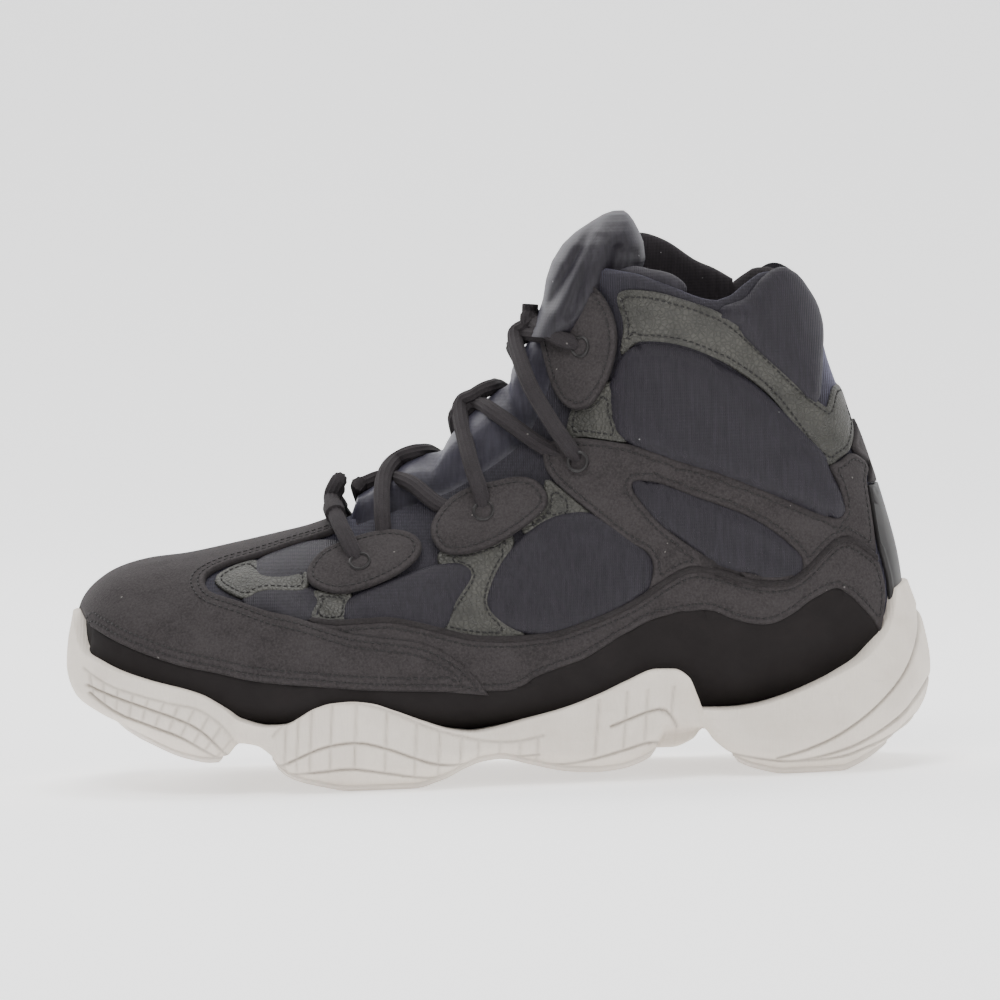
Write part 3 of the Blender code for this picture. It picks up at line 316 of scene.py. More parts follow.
def wall_thickness(row):
    """Thickness of the upper's wall, padded towards the collar."""
    return WALL + share(PADDING, row) * COLLAR_PADDING


print("the last is ready, ball width",
      round(float(np.ptp(last_surface(7.0, np.linspace(0, 6.28, 60))[:, 1])), 4), "m")

# %% [markdown]
# ## From the side view to the last
# Every panel was drawn on the side view, as a pattern cutter draws on a taped last. The
# sections are straight lines there, so a drawn point lies on one section's line at one
# share of its length. Finding that line and share gives the point's row and angle.

# %% Side view to row and angle
SEARCH_ROWS = np.linspace(-0.4, 27.4, 1391)


def locate(points):
    """Rows and angles of side-view points, given as shares of length and height."""
    values = section_values(SEARCH_ROWS)
    back = np.stack([values["back_x"], values["back_z"]], axis=-1) * SIDE_SIZE
    line = np.stack([values["front_x"], values["front_z"]], axis=-1) * SIDE_SIZE - back
    target = np.asarray(points, dtype=float) * SIDE_SIZE
    sought = target.copy()
    pick = np.arange(len(target))
    for turn in range(4):
        offset = sought[:, None, :] - back[None]
        cross = line[None, :, 0] * offset[..., 1] - line[None, :, 1] * offset[..., 0]
        along = np.sum(offset * line[None], axis=-1) / np.sum(line * line, axis=-1)[None]
        outside = np.maximum(0, np.maximum(-along, along - 1))
        change = cross[:, :-1] * cross[:, 1:] <= 0
        score = np.where(change, outside[:, :-1], 10 + np.abs(cross[:, :-1]) * 1e4)
        index = np.argmin(score, axis=1)
        first = cross[pick, index]
        second = cross[pick, index + 1]
        part = np.clip(first / np.where(first == second, 1, first - second), 0, 1)
        rows = SEARCH_ROWS[index] + part * (SEARCH_ROWS[1] - SEARCH_ROWS[0])
        shares = np.clip(along[pick, index] * (1 - part) + along[pick, index + 1] * part, 0, 1)
        dip = share(COLLAR_DIP, shares) * SHOE_HEIGHT * dip_blend(rows)
        sought = target - np.stack([np.zeros(len(dip)), dip], axis=-1)
    here = section_values(rows)
    below = shares < here["widest"]
    low_reach = np.clip(1 - shares / here["widest"], 0, 1) ** (here["low"] / 2)
    high_reach = np.clip((shares - here["widest"]) / (1 - here["widest"]), 0, 1) ** (here["high"] / 2)
    cosine = np.where(below, low_reach, -high_reach)
    return np.stack([rows, np.arccos(np.clip(cosine, -1, 1))], axis=-1)


FLOOR_PIXEL = (372, 783.5)
MIDDLE_FROM_FLOOR_PIXEL = 132.6
PICTURE_COSINE, PICTURE_SINE = 0.99947, 0.03269


def pixels_to_side(points):
    """Side-view millimetres of points that were read off the photograph."""
    right, down = (np.asarray(points, dtype=float) - FLOOR_PIXEL).T
    across = PICTURE_COSINE * right - PICTURE_SINE * down
    up = -PICTURE_SINE * right - PICTURE_COSINE * down
    return np.stack([across - MIDDLE_FROM_FLOOR_PIXEL, up], axis=-1) * PIXEL / MM


def smooth_line(points, step, closed=False):
    """Even points on a smooth curve through hand-placed ones."""
    points = np.asarray(points, dtype=float)
    count = len(points)
    pieces = []
    for k in range(count if closed else count - 1):
        if closed:
            a, b, c, d = (points[(k + shift) % count] for shift in (-1, 0, 1, 2))
        else:
            a, b = points[max(k - 1, 0)], points[k]
            c, d = points[k + 1], points[min(k + 2, count - 1)]
        t = np.linspace(0, 1, 12, endpoint=False)[:, None]
        pieces.append(0.5 * (2 * b + (c - a) * t + (2 * a - 5 * b + 4 * c - d) * t**2
                             + (3 * b - a - 3 * c + d) * t**3))
    dense = np.concatenate(pieces + [points[:1] if closed else points[-1:]])
    length = np.concatenate([[0], np.cumsum(np.linalg.norm(np.diff(dense, axis=0), axis=1))])
    number = max(3, int(round(length[-1] / step)))
    where = np.linspace(0, length[-1], number + 1)
    even = np.stack([np.interp(where, length, dense[:, axis]) for axis in range(dense.shape[1])], axis=-1)
    return even[:-1] if closed else even


print("toe cap point lies at row and angle", np.round(locate([(-0.35, 0.30)])[0], 2))

# %% [markdown]
# ## Cutting a panel
# A real panel is cut flat, laid on the last and sewn. The mesh is made the same way. The
# outline becomes a polygon of rows and angles, it is filled with triangles by a
# constrained Delaunay, and each corner is then lifted off the last. Rings of points just
# inside the edge give the cut edge its round shoulder and the seam its shallow channel.

# %% Filling an outline with triangles
ROW_SCALE = 14 * MM
ANGLE_SCALE = 42 * MM
EDGE_STEP = 1.1 * MM
INSETS = (0.35 * MM, 0.9 * MM, 1.6 * MM, 2.3 * MM, 3.0 * MM)
LATTICE = 1.7 * MM


def dense_run(points):
    """Rows, angles and an edge mark for an outline that is already dense."""
    return np.column_stack([locate(points), np.ones(len(points))])


def edge_run(points, closed=False):
    """The same for a drawn line of the side view, smoothed first."""
    return dense_run(smooth_line(np.asarray(points) * SIDE_SIZE, EDGE_STEP, closed) / SIDE_SIZE)


def middle_run(first_row, final_row, angle):
    """Points on the centre line of the shoe, where both halves are joined."""
    count = max(2, int(abs(final_row - first_row) * ROW_SCALE / EDGE_STEP))
    rows = np.linspace(first_row, final_row, count)
    return np.column_stack([rows, np.full(count, angle), np.zeros(count)])


def inside_polygon(points, polygon):
    """True for each point that lies inside a closed polygon."""
    x, y = points[:, 0][:, None], points[:, 1][:, None]
    x0, y0 = polygon[:, 0][None], polygon[:, 1][None]
    x1, y1 = np.roll(polygon[:, 0], -1)[None], np.roll(polygon[:, 1], -1)[None]
    crosses = (y0 > y) != (y1 > y)
    where = x0 + (y - y0) * (x1 - x0) / np.where(y1 == y0, 1e-12, y1 - y0)
    return np.sum(crosses & (x < where), axis=1) % 2 == 1


def inside_outline(points, polygons):
    """True for each point inside the first polygon and outside the others."""
    good = inside_polygon(points, polygons[0])
    for hole in polygons[1:]:
        good &= ~inside_polygon(points, hole)
    return good


def edge_distances(points, border):
    """Distance of each 3-D point from the nearest of the border's points."""
    tree = kdtree.KDTree(len(border))
    for k, place in enumerate(border):
        tree.insert(place, k)
    tree.balance()
    return np.array([tree.find(point)[2] for point in points])


def fill_outline(runs, holes=(), insets=INSETS):
    """Triangulate an outline: rows, angles, edge distance, triangles and border loops."""
    border = np.concatenate(runs)
    scale = np.array([ROW_SCALE, ANGLE_SCALE])
    steps = np.diff(border[:, :2], axis=0, append=border[:1, :2]) * scale
    loops = [border[np.linalg.norm(steps, axis=1) > 0.25 * MM], *holes]
    polygons = [loop[:, :2] * scale for loop in loops]
    edges_3d = []
    candidates = []
    for loop, polygon in zip(loops, polygons):
        real = loop[:, 2] > 0.5
        along = np.roll(loop, -1, axis=0)
        both = real & (along[:, 2] > 0.5)
        for part in (0.0, 0.33, 0.66):
            mixed = loop[both] * (1 - part) + along[both] * part
            edges_3d.append(last_surface(mixed[:, 0], mixed[:, 1]))
        tangent = np.roll(polygon, -1, axis=0) - np.roll(polygon, 1, axis=0)
        normal = np.stack([-tangent[:, 1], tangent[:, 0]], axis=-1)
        normal /= np.maximum(np.linalg.norm(normal, axis=1, keepdims=True), 1e-12)
        probe = 0.4 * MM
        here = last_surface(loop[:, 0], loop[:, 1])
        for sign in (1, -1):
            moved = (polygon + sign * normal * probe) / scale
            away = np.linalg.norm(last_surface(moved[:, 0], moved[:, 1]) - here, axis=1)
            stretch = probe / np.maximum(away, 0.05 * MM)
            for inset in insets:
                ring = polygon + sign * normal * (inset * stretch)[:, None]
                candidates.append((ring[real], inset * 0.86))
    edges_3d = np.concatenate(edges_3d)
    low, high = polygons[0].min(axis=0), polygons[0].max(axis=0)
    xs = np.arange(low[0] + LATTICE / 2, high[0], LATTICE * 0.87)
    ys = np.arange(low[1], high[1] + LATTICE, LATTICE)
    grid = np.array([(x, y + (LATTICE / 2 if k % 2 else 0)) for k, x in enumerate(xs) for y in ys])
    candidates.append((grid, insets[-1] + 0.55 * LATTICE))
    chosen = []
    for points, least in candidates:
        good = inside_outline(points, polygons)
        good &= (points[:, 1] > 0.6 * MM) & (points[:, 1] < math.pi * ANGLE_SCALE - 0.6 * MM)
        points = points[good]
        if len(points):
            place = last_surface(points[:, 0] / ROW_SCALE, points[:, 1] / ANGLE_SCALE)
            chosen.append(points[edge_distances(place, edges_3d) > least])
    inner = np.concatenate(chosen)
    flat = np.concatenate(polygons + [inner])
    edges = []
    start = 0
    for polygon in polygons:
        size = len(polygon)
        edges += [(start + k, start + (k + 1) % size) for k in range(size)]
        start += size
    result = geometry.delaunay_2d_cdt([Vector(point) for point in flat], edges, [], 0, 1e-7)
    places = np.array([tuple(point) for point in result[0]])
    triangles = np.array([tuple(face) for face in result[2]])
    centres = places[triangles].mean(axis=1)
    triangles = triangles[inside_outline(centres, polygons)]
    rows_angles = places / scale
    surface = last_surface(rows_angles[:, 0], rows_angles[:, 1])
    distance = edge_distances(surface, edges_3d)
    corner = last_surface(rows_angles[triangles, 0], rows_angles[triangles, 1])
    turned = np.cross(corner[:, 1] - corner[:, 0], corner[:, 2] - corner[:, 0])
    outward = last_normal(rows_angles[triangles, 0].mean(axis=1), rows_angles[triangles, 1].mean(axis=1))
    flip = np.sum(turned * outward, axis=1) < 0
    triangles[flip] = triangles[flip][:, ::-1]
    return {"place": rows_angles, "distance": distance, "triangles": triangles}


def border_edges(triangles):
    """Directed edges that only one triangle has."""
    count = {}
    for a, b, c in triangles:
        for edge in ((a, b), (b, c), (c, a)):
            count[edge] = True
    return [edge for edge in count if (edge[1], edge[0]) not in count]


# %% Lifting the triangles off the last
SEAM_INSET = 2.3
CHANNEL_DEPTH = 0.22 * MM
CHANNEL_HALF_WIDTH = 0.55 * MM
ROUND_EDGE = 0.9 * MM


def sewn_profile(distance, thick, channel=CHANNEL_DEPTH):
    """Height over a panel's underside: square edge, round shoulder and sewn channel."""
    near = np.clip(1 - distance / ROUND_EDGE, 0, 1)
    height = thick * (0.45 + 0.55 * np.sqrt(np.maximum(0, 1 - near**2)))
    height -= channel * np.exp(-((distance - SEAM_INSET * MM) / CHANNEL_HALF_WIDTH) ** 2)
    return height


def crowned_profile(distance, crown, reach):
    """Height of a padded window: nothing at the seam, swelling to a flat crown."""
    rise = np.clip(distance / reach, 0, 1)
    return crown * np.sqrt(np.maximum(0, 1 - (1 - rise) ** 2.4))


def add_object(name, vertices, faces, material, sharp=50.0):
    """Mesh object with smooth shading, one material and outward faces."""
    mesh = bpy.data.meshes.new(name)
    mesh.from_pydata([tuple(map(float, point)) for point in vertices], [],
                     [tuple(map(int, face)) for face in faces])
    mesh.materials.append(material)
    mesh.shade_smooth()
    mesh.set_sharp_from_angle(angle=math.radians(sharp))
    item = bpy.data.objects.new(name, mesh)
    bpy.context.scene.collection.objects.link(item)
    return item


def smooth_again(item, sharp):
    """Smooth shading after an edit, with edges over an angle in degrees kept sharp."""
    item.data.shade_smooth()
    item.data.set_sharp_from_angle(angle=math.radians(sharp))


def turn_faces_out(item, weld=0.0, sharp=None):
    """Weld close corners and point all faces outward, then smooth the mesh, where asked."""
    model = bmesh.new()
    model.from_mesh(item.data)
    if weld:
        bmesh.ops.remove_doubles(model, verts=model.verts, dist=weld)
    bmesh.ops.recalc_face_normals(model, faces=model.faces)
    model.to_mesh(item.data)
    model.free()
    if sharp:
        smooth_again(item, sharp)


def make_plain(item):
    """Bake an object's modifiers into its mesh and take them off."""
    graph = bpy.context.evaluated_depsgraph_get()
    mesh = bpy.data.meshes.new_from_object(item.evaluated_get(graph))
    item.modifiers.clear()
    item.data = mesh


def loft_faces(count, size):
    """Quads between equal rings that follow each other."""
    faces = []
    for level in range(count - 1):
        for k in range(size):
            a, b = level * size + k, level * size + (k + 1) % size
            faces.append((a, b, b + size, a + size))
    return faces


def slab_faces(rows, width):
    """Faces of two equal grids, one over the other, and the wall round their border."""
    shift = rows * width
    faces = []
    for i in range(rows - 1):
        for j in range(width - 1):
            a = i * width + j
            cell = (a, a + 1, a + width + 1, a + width)
            faces += [cell, tuple(shift + k for k in reversed(cell))]
    border = list(range(width)) + [i * width + width - 1 for i in range(1, rows)]
    border += [(rows - 1) * width + j for j in range(width - 2, -1, -1)]
    border += [i * width for i in range(rows - 2, 0, -1)]
    return faces + [(b, a, shift + a, shift + b) for a, b in zip(border, border[1:] + border[:1])]


def place_piece(item, slot, *nodes):
    """Make a finished piece ride the shoe and stand for its solids; its slot is not used."""
    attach(item, "root")
    if nodes:
        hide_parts(*nodes)
    return item


def store_attribute(item, name, values):
    """Number per vertex that a material can read."""
    attribute = item.data.attributes.new(name, "FLOAT", "POINT")
    attribute.data.foreach_set("value", np.asarray(values, dtype=np.float32))


def panel(name, filled, sides, base, height, material):
    """Closed panel on one or both sides, from its underside offset and its height."""
    vertices, faces, distances = [], [], []
    triangles = filled["triangles"]
    outline = border_edges([tuple(triangle) for triangle in triangles])
    rows, angles = filled["place"][:, 0], filled["place"][:, 1]
    number = len(rows)
    on_middle = (angles < 1e-4) | (angles > math.pi - 1e-4)
    for side in sides:
        start = len(vertices)
        turned = on_side(angles, side)
        top = last_point(rows, turned, base + height)
        under = last_point(rows, turned, base)
        vertices += list(top) + list(under)
        distances += list(filled["distance"]) * 2
        for a, b, c in triangles:
            face = (a, b, c) if side < 0 else (c, b, a)
            faces.append(tuple(start + k for k in face))
            faces.append(tuple(start + number + k for k in reversed(face)))
        for a, b in outline:
            if len(sides) > 1 and on_middle[a] and on_middle[b]:
                continue
            wall = (b, a, a + number, b + number) if side < 0 else (a, b, b + number, a + number)
            faces.append(tuple(start + k for k in wall))
    item = add_object(name, vertices, faces, material)
    store_attribute(item, "edge", np.array(distances) / MM)
    if len(sides) > 1:
        model = bmesh.new()
        model.from_mesh(item.data)
        seam = [vertex for vertex in model.verts if abs(vertex.co.y) < 8 * MM]
        bmesh.ops.remove_doubles(model, verts=seam, dist=2e-6)
        model.to_mesh(item.data)
        model.free()
        smooth_again(item, 50)
    return item


print("panel tools ready")

# %% [markdown]
# ## Effects that several materials share
# Suede, leather and nylon differ in nap, grain and weave, but they collect the same dust and
# are darkened along the same edges. Each effect is a node group with named inputs. It gives
# out only masks and heights, and each material mixes them in its own way.

# %% Node groups
def add_node(tree, kind, inputs=(), **settings):
    """Node of a kind with its settings; each input is a socket to join or a plain value."""
    node = tree.nodes.new(kind)
    for word, value in settings.items():
        setattr(node, word, value)
    for word, value in dict(inputs).items():
        if isinstance(value, bpy.types.NodeSocket):
            tree.links.new(value, node.inputs[word])
        else:
            node.inputs[word].default_value = value
    return node


def new_group(name, inputs, outputs):
    """Empty shader group with float inputs and outputs, and its two end nodes."""
    group = bpy.data.node_groups.new(name, "ShaderNodeTree")
    for word, value in inputs:
        socket = group.interface.new_socket(word, in_out="INPUT", socket_type="NodeSocketFloat")
        socket.default_value = value
    for word in outputs:
        group.interface.new_socket(word, in_out="OUTPUT", socket_type="NodeSocketFloat")
    return group, group.nodes.new("NodeGroupInput").outputs, group.nodes.new("NodeGroupOutput").inputs


def math_node(tree, operation, first, second, clamp=False):
    """Math node whose inputs are sockets or numbers; gives its output socket."""
    return add_node(tree, "ShaderNodeMath", {0: first, 1: second}, operation=operation,
                    use_clamp=clamp).outputs[0]


def weighted(tree, *terms):
    """Sum of sockets, each times its own number."""
    total = None
    for socket, weight in terms:
        part = math_node(tree, "MULTIPLY", socket, weight)
        total = part if total is None else math_node(tree, "ADD", total, part)
    return total


def place_socket(tree):
    """Coordinates on the object itself."""
    return tree.nodes.new("ShaderNodeTexCoord").outputs["Object"]


def noise_node(tree, scale, detail=3.0, roughness=0.55, stretch=(1, 1, 1), turn=(0, 0, 0)):
    """Noise on object coordinates, in cycles per metre; gives its value socket."""
    mapping = add_node(tree, "ShaderNodeMapping", {"Vector": place_socket(tree), "Scale": stretch,
                                                   "Rotation": turn})
    return add_node(tree, "ShaderNodeTexNoise", {"Vector": mapping.outputs["Vector"], "Scale": scale,
                                                 "Detail": detail, "Roughness": roughness}).outputs["Fac"]


def cells_node(tree, scale, feature="F1"):
    """Distance socket of round cells on object coordinates."""
    return add_node(tree, "ShaderNodeTexVoronoi", {"Vector": place_socket(tree), "Scale": scale},
                    feature=feature).outputs["Distance"]


def stored_value(tree, name):
    """Number stored on the mesh under a name."""
    return add_node(tree, "ShaderNodeAttribute", attribute_name=name).outputs["Fac"]


def ramp_value(tree, value, low, high, start=0.0, end=1.0):
    """Value stretched from low..high to start..end and clamped."""
    return add_node(tree, "ShaderNodeMapRange", {"Value": value, "From Min": low, "From Max": high,
                                                 "To Min": start, "To Max": end}).outputs["Result"]


def build_nap_group():
    """Brushed nap: short fibres, cloudy finger marks and a height for the bump."""
    group, start, end = new_group("nap", (("Fibre Scale", 1500.0), ("Cloud Scale", 60.0)),
                                  ("Clouds", "Fibres", "Height"))
    fibres = noise_node(group, start["Fibre Scale"], 4.0, 0.7)
    clouds = noise_node(group, start["Cloud Scale"], 5.0, 0.62, (1.0, 1.0, 1.7), (0, 0.5, 0))
    group.links.new(ramp_value(group, clouds, 0.32, 0.68), end["Clouds"])
    group.links.new(ramp_value(group, fibres, 0.25, 0.75), end["Fibres"])
    group.links.new(weighted(group, (fibres, 0.7), (clouds, 0.6)), end["Height"])
    return group


def build_grain_group():
    """Leather grain: pebbles with fine valleys between them and longer wrinkles."""
    group, start, end = new_group("grain", (("Pebble Scale", 620.0), ("Wrinkle Scale", 120.0)),
                                  ("Valleys", "Height"))
    pebble = ramp_value(group, cells_node(group, start["Pebble Scale"], "DISTANCE_TO_EDGE"), 0.0, 0.22)
    wrinkle = noise_node(group, start["Wrinkle Scale"], 5.0, 0.6, (1.0, 1.0, 2.2))
    group.links.new(math_node(group, "SUBTRACT", 1.0, pebble), end["Valleys"])
    group.links.new(weighted(group, (pebble, 0.6), (wrinkle, 1.0)), end["Height"])
    return group


def build_weave_group():
    """Ribbed nylon: fine upright ribs, crossed by fainter threads."""
    group, start, end = new_group("weave", (("Ribs", 1500.0), ("Threads", 900.0)),
                                  ("Streaks", "Height"))
    split = add_node(group, "ShaderNodeSeparateXYZ", {"Vector": place_socket(group)})
    waves = []
    for axis, word in (("X", "Ribs"), ("Z", "Threads")):
        pitch = math_node(group, "MULTIPLY", start[word], 6.28)
        phase = math_node(group, "MULTIPLY", split.outputs[axis], pitch)
        waves.append(math_node(group, "SINE", phase, 0.0))
    streaks = noise_node(group, 900.0, 3.0, 0.6, (1.0, 1.0, 0.06))
    group.links.new(ramp_value(group, streaks, 0.3, 0.7), end["Streaks"])
    group.links.new(weighted(group, (waves[0], 0.5), (waves[1], 0.2), (streaks, 1.2)), end["Height"])
    return group


def build_dust_group():
    """Specks of pale dust and lint, thinned out by a slow noise."""
    group, start, end = new_group("dust", (("Speck Scale", 260.0), ("Speck Size", 0.10)), ("Specks",))
    near = math_node(group, "LESS_THAN", cells_node(group, start["Speck Scale"]), start["Speck Size"])
    chance = math_node(group, "GREATER_THAN", noise_node(group, 170.0, 2.0, 0.5), 0.62)
    group.links.new(math_node(group, "MULTIPLY", near, chance), end["Specks"])
    return group


def build_wear_group():
    """Edge mask from the stored distance to a panel's edge, broken up by noise."""
    group, start, end = new_group("wear", (("Width", 1.2), ("Break Up", 0.5)), ("Edge",))
    near = math_node(group, "DIVIDE", stored_value(group, "edge"), start["Width"])
    mask = math_node(group, "SUBTRACT", 1.0, near, clamp=True)
    broken = math_node(group, "MULTIPLY", noise_node(group, 240.0, 3.0), start["Break Up"])
    group.links.new(math_node(group, "SUBTRACT", mask, broken, clamp=True), end["Edge"])
    return group


GROUPS = {"nap": build_nap_group(), "grain": build_grain_group(), "weave": build_weave_group(),
          "dust": build_dust_group(), "wear": build_wear_group()}
print("node groups:", ", ".join(GROUPS))

# %% [markdown]
# ## The materials
# Each material starts from its colour in the photograph. Suede is nearly black charcoal
# with a pale nap and a soft sheen. The band above the sole is smoother and darker. The
# padded nylon is a deep purple navy, the tongue is a greyer satin, the bands round the
# collar are grained leather with a grey-green cast, and the sole is bone-coloured foam.

# %% Materials
def use_group(tree, name, **values):
    """Outputs of a shared group that is placed in a material with its own values."""
    values = {word.replace("_", " "): value for word, value in values.items()}
    return add_node(tree, "ShaderNodeGroup", values, node_tree=GROUPS[name]).outputs


def toned(colour, factor):
    """Colour made paler or darker by a factor."""
    return tuple(value * factor for value in colour)


def laid_over(tree, mask, strength, below, above, clamp=False):
    """Colour laid over another, each a socket or a triple, by a share of a mask."""
    if strength < 1:
        mask = math_node(tree, "MULTIPLY", mask, strength, clamp)
    below, above = ((*value, 1) if isinstance(value, tuple) else value for value in (below, above))
    return add_node(tree, "ShaderNodeMix", {0: mask, 6: below, 7: above}, data_type="RGBA").outputs[2]


def new_material(name, roughness, sheen=0.0, sheen_colour=(1, 1, 1), specular=0.5, coat=0.0):
    """Material whose constant values sit on the shader's own sockets."""
    material = bpy.data.materials.new(name)
    material.use_nodes = True
    shader = material.node_tree.nodes["Principled BSDF"]
    values = {"Roughness": roughness, "Specular IOR Level": specular, "Sheen Weight": sheen,
              "Sheen Roughness": 0.45, "Sheen Tint": (*sheen_colour, 1), "Coat Weight": coat,
              "Coat Roughness": 0.35}
    for word, value in values.items():
        shader.inputs[word].default_value = value
    return material, material.node_tree, shader.inputs


def finish_material(tree, shader, colour, height, distance):
    """Join the colour and the bump of a material to its shader."""
    bump = add_node(tree, "ShaderNodeBump", {"Height": height, "Distance": distance, "Strength": 1.0})
    tree.links.new(colour, shader["Base Color"])
    tree.links.new(bump.outputs["Normal"], shader["Normal"])


def napped(name, dark, pale, fibre=1150.0, bump=0.25 * MM, sheen=0.35):
    """Suede in two tones of nap, darker along its edges, with lint."""
    material, tree, shader = new_material(name, 0.95, sheen, (0.75, 0.72, 0.72), 0.15)
    nap = use_group(tree, "nap", Fibre_Scale=fibre)
    colour = laid_over(tree, nap["Clouds"], 1, dark, pale)
    colour = laid_over(tree, nap["Fibres"], 0.75, colour, toned(pale, 1.9))
    # Darker within about a millimetre of a panel's stored edge, broken up by noise; a mesh without that
    # number is darkened all over.
    colour = laid_over(tree, use_group(tree, "wear", Width=1.1)["Edge"], 0.55, colour, toned(dark, 0.45))
    colour = laid_over(tree, use_group(tree, "dust")["Specks"], 0.22, colour, (0.45, 0.43, 0.40))
    finish_material(tree, shader, colour, nap["Height"], bump)
    return material


def grained(name, dark, pale):
    """Grained leather with darker valleys and edges and a dull coat."""
    material, tree, shader = new_material(name, 0.5, 0.0, (1, 1, 1), 0.4, 0.1)
    grain = use_group(tree, "grain")
    colour = laid_over(tree, ramp_value(tree, noise_node(tree, 90.0, 4.0), 0.35, 0.65), 1, dark, pale)
    colour = laid_over(tree, grain["Valleys"], 0.5, colour, toned(dark, 0.5))
    # Darker within about a millimetre of a panel's stored edge, broken up by noise.
    colour = laid_over(tree, use_group(tree, "wear", Width=1.0)["Edge"], 0.5, colour, toned(dark, 0.4))
    rough = ramp_value(tree, noise_node(tree, 160.0, 3.0), 0.0, 1.0, 0.42, 0.68)
    tree.links.new(rough, shader["Roughness"])
    finish_material(tree, shader, colour, grain["Height"], 0.35 * MM)
    return material


def woven(name, dark, pale, ribs=1500.0, bump=0.10 * MM, roughness=0.62, sheen=0.25,
          sheen_colour=(0.5, 0.5, 0.8)):
    """Ribbed nylon with faint upright streaks and a little dust."""
    material, tree, shader = new_material(name, roughness, sheen, sheen_colour, 0.35)
    weave = use_group(tree, "weave", Ribs=ribs)
    dust = use_group(tree, "dust", Speck_Scale=230.0, Speck_Size=0.07)
    colour = laid_over(tree, weave["Streaks"], 1, dark, pale)
    colour = laid_over(tree, dust["Specks"], 0.35, colour, (0.5, 0.5, 0.5))
    finish_material(tree, shader, colour, weave["Height"], bump)
    return material


def moulded(name, colour, shade, roughness, bump, specular=0.4, mesh=False):
    """Moulded foam or rubber with a fine skin, soft stains, scuffs and painted shade in its grooves."""
    material, tree, shader = new_material(name, roughness, 0.0, (1, 1, 1), specular)
    stains = ramp_value(tree, noise_node(tree, 45.0, 5.0, 0.6), 0.40, 0.72)
    scuffs = ramp_value(tree, noise_node(tree, 150.0, 6.0, 0.7, (0.35, 1.0, 2.4)), 0.62, 0.78)
    colour = laid_over(tree, stains, 0.6, colour, shade)
    colour = laid_over(tree, scuffs, 0.25, colour, toned(shade, 0.72))
    # Painted shade: the colour darkens in the pressed grooves, by their stored depth.
    colour = laid_over(tree, stored_value(tree, "groove_shade"), 0.62, colour, toned(shade, 0.42), clamp=True)
    heights = [(noise_node(tree, 900.0, 3.0), 0.5), (scuffs, 0.3)]
    if mesh:
        heights.append((use_group(tree, "weave", Ribs=880.0, Threads=880.0)["Height"], 0.8))
    finish_material(tree, shader, colour, weighted(tree, *heights), bump)
    return material


SUEDE = napped("charcoal suede", (0.0145, 0.0125, 0.0130), (0.031, 0.0275, 0.0280), sheen=0.05)
NUBUCK = moulded("dark band", (0.0135, 0.0115, 0.0115), (0.0200, 0.0175, 0.0175), 0.85, 0.06 * MM, 0.12)
RUBBER = moulded("heel rubber", (0.0090, 0.0078, 0.0078), (0.0150, 0.0130, 0.0132), 0.5, 0.05 * MM)
LEATHER = grained("grained leather", (0.028, 0.027, 0.0225), (0.056, 0.054, 0.046))
NYLON = woven("window nylon", (0.0070, 0.0053, 0.0088), (0.0150, 0.0122, 0.0182), sheen=0.02)
SATIN = woven("tongue satin", (0.020, 0.0180, 0.0260), (0.037, 0.0340, 0.0480), 2600.0, 0.05 * MM, 0.42,
              0.10, (0.6, 0.6, 0.85))
DARK_SATIN = woven("folded satin", (0.0085, 0.0070, 0.0100), (0.0190, 0.0160, 0.0220), 2600.0,
                   0.05 * MM, 0.5, 0.05, (0.6, 0.6, 0.85))
LINING = woven("collar lining", (0.0110, 0.0085, 0.0105), (0.021, 0.017, 0.020), 1900.0, 0.12 * MM, 0.85,
               0.06, (0.6, 0.5, 0.55))
FOAM = moulded("bone foam", (0.72, 0.655, 0.575), (0.56, 0.49, 0.43), 0.7, 0.09 * MM, mesh=True)
TREAD = moulded("tread rubber", (0.66, 0.605, 0.54), (0.52, 0.46, 0.42), 0.7, 0.08 * MM)
THREAD = new_material("seam thread", 0.8)[0]
THREAD.node_tree.nodes["Principled BSDF"].inputs["Base Color"].default_value = (0.012, 0.011, 0.011, 1)
print("materials:", ", ".join(material.name for material in bpy.data.materials))

# %% [markdown]
# ## The bootie
# Under all the panels is one soft bootie. Its padding is thickest just under the collar.
# It is open at the throat and rolled over at the top. A grid of rows and angles makes it: an
# outer skin, an inner skin one wall thickness inside, and a roll that joins them.

# %% Bootie with its lining
BOOTIE_ROWS = 110
ROLL_START = 23.2
ROLL_END = COLLAR_ROW + 0.15


def side_angles(row, low):
    """Angles from the back or bottom round one side to the throat's edge."""
    high = float(throat_angle(max(row, THROAT_ROW)))
    return np.concatenate([np.linspace(0, low, 4, endpoint=False), np.linspace(low, high, 41)])


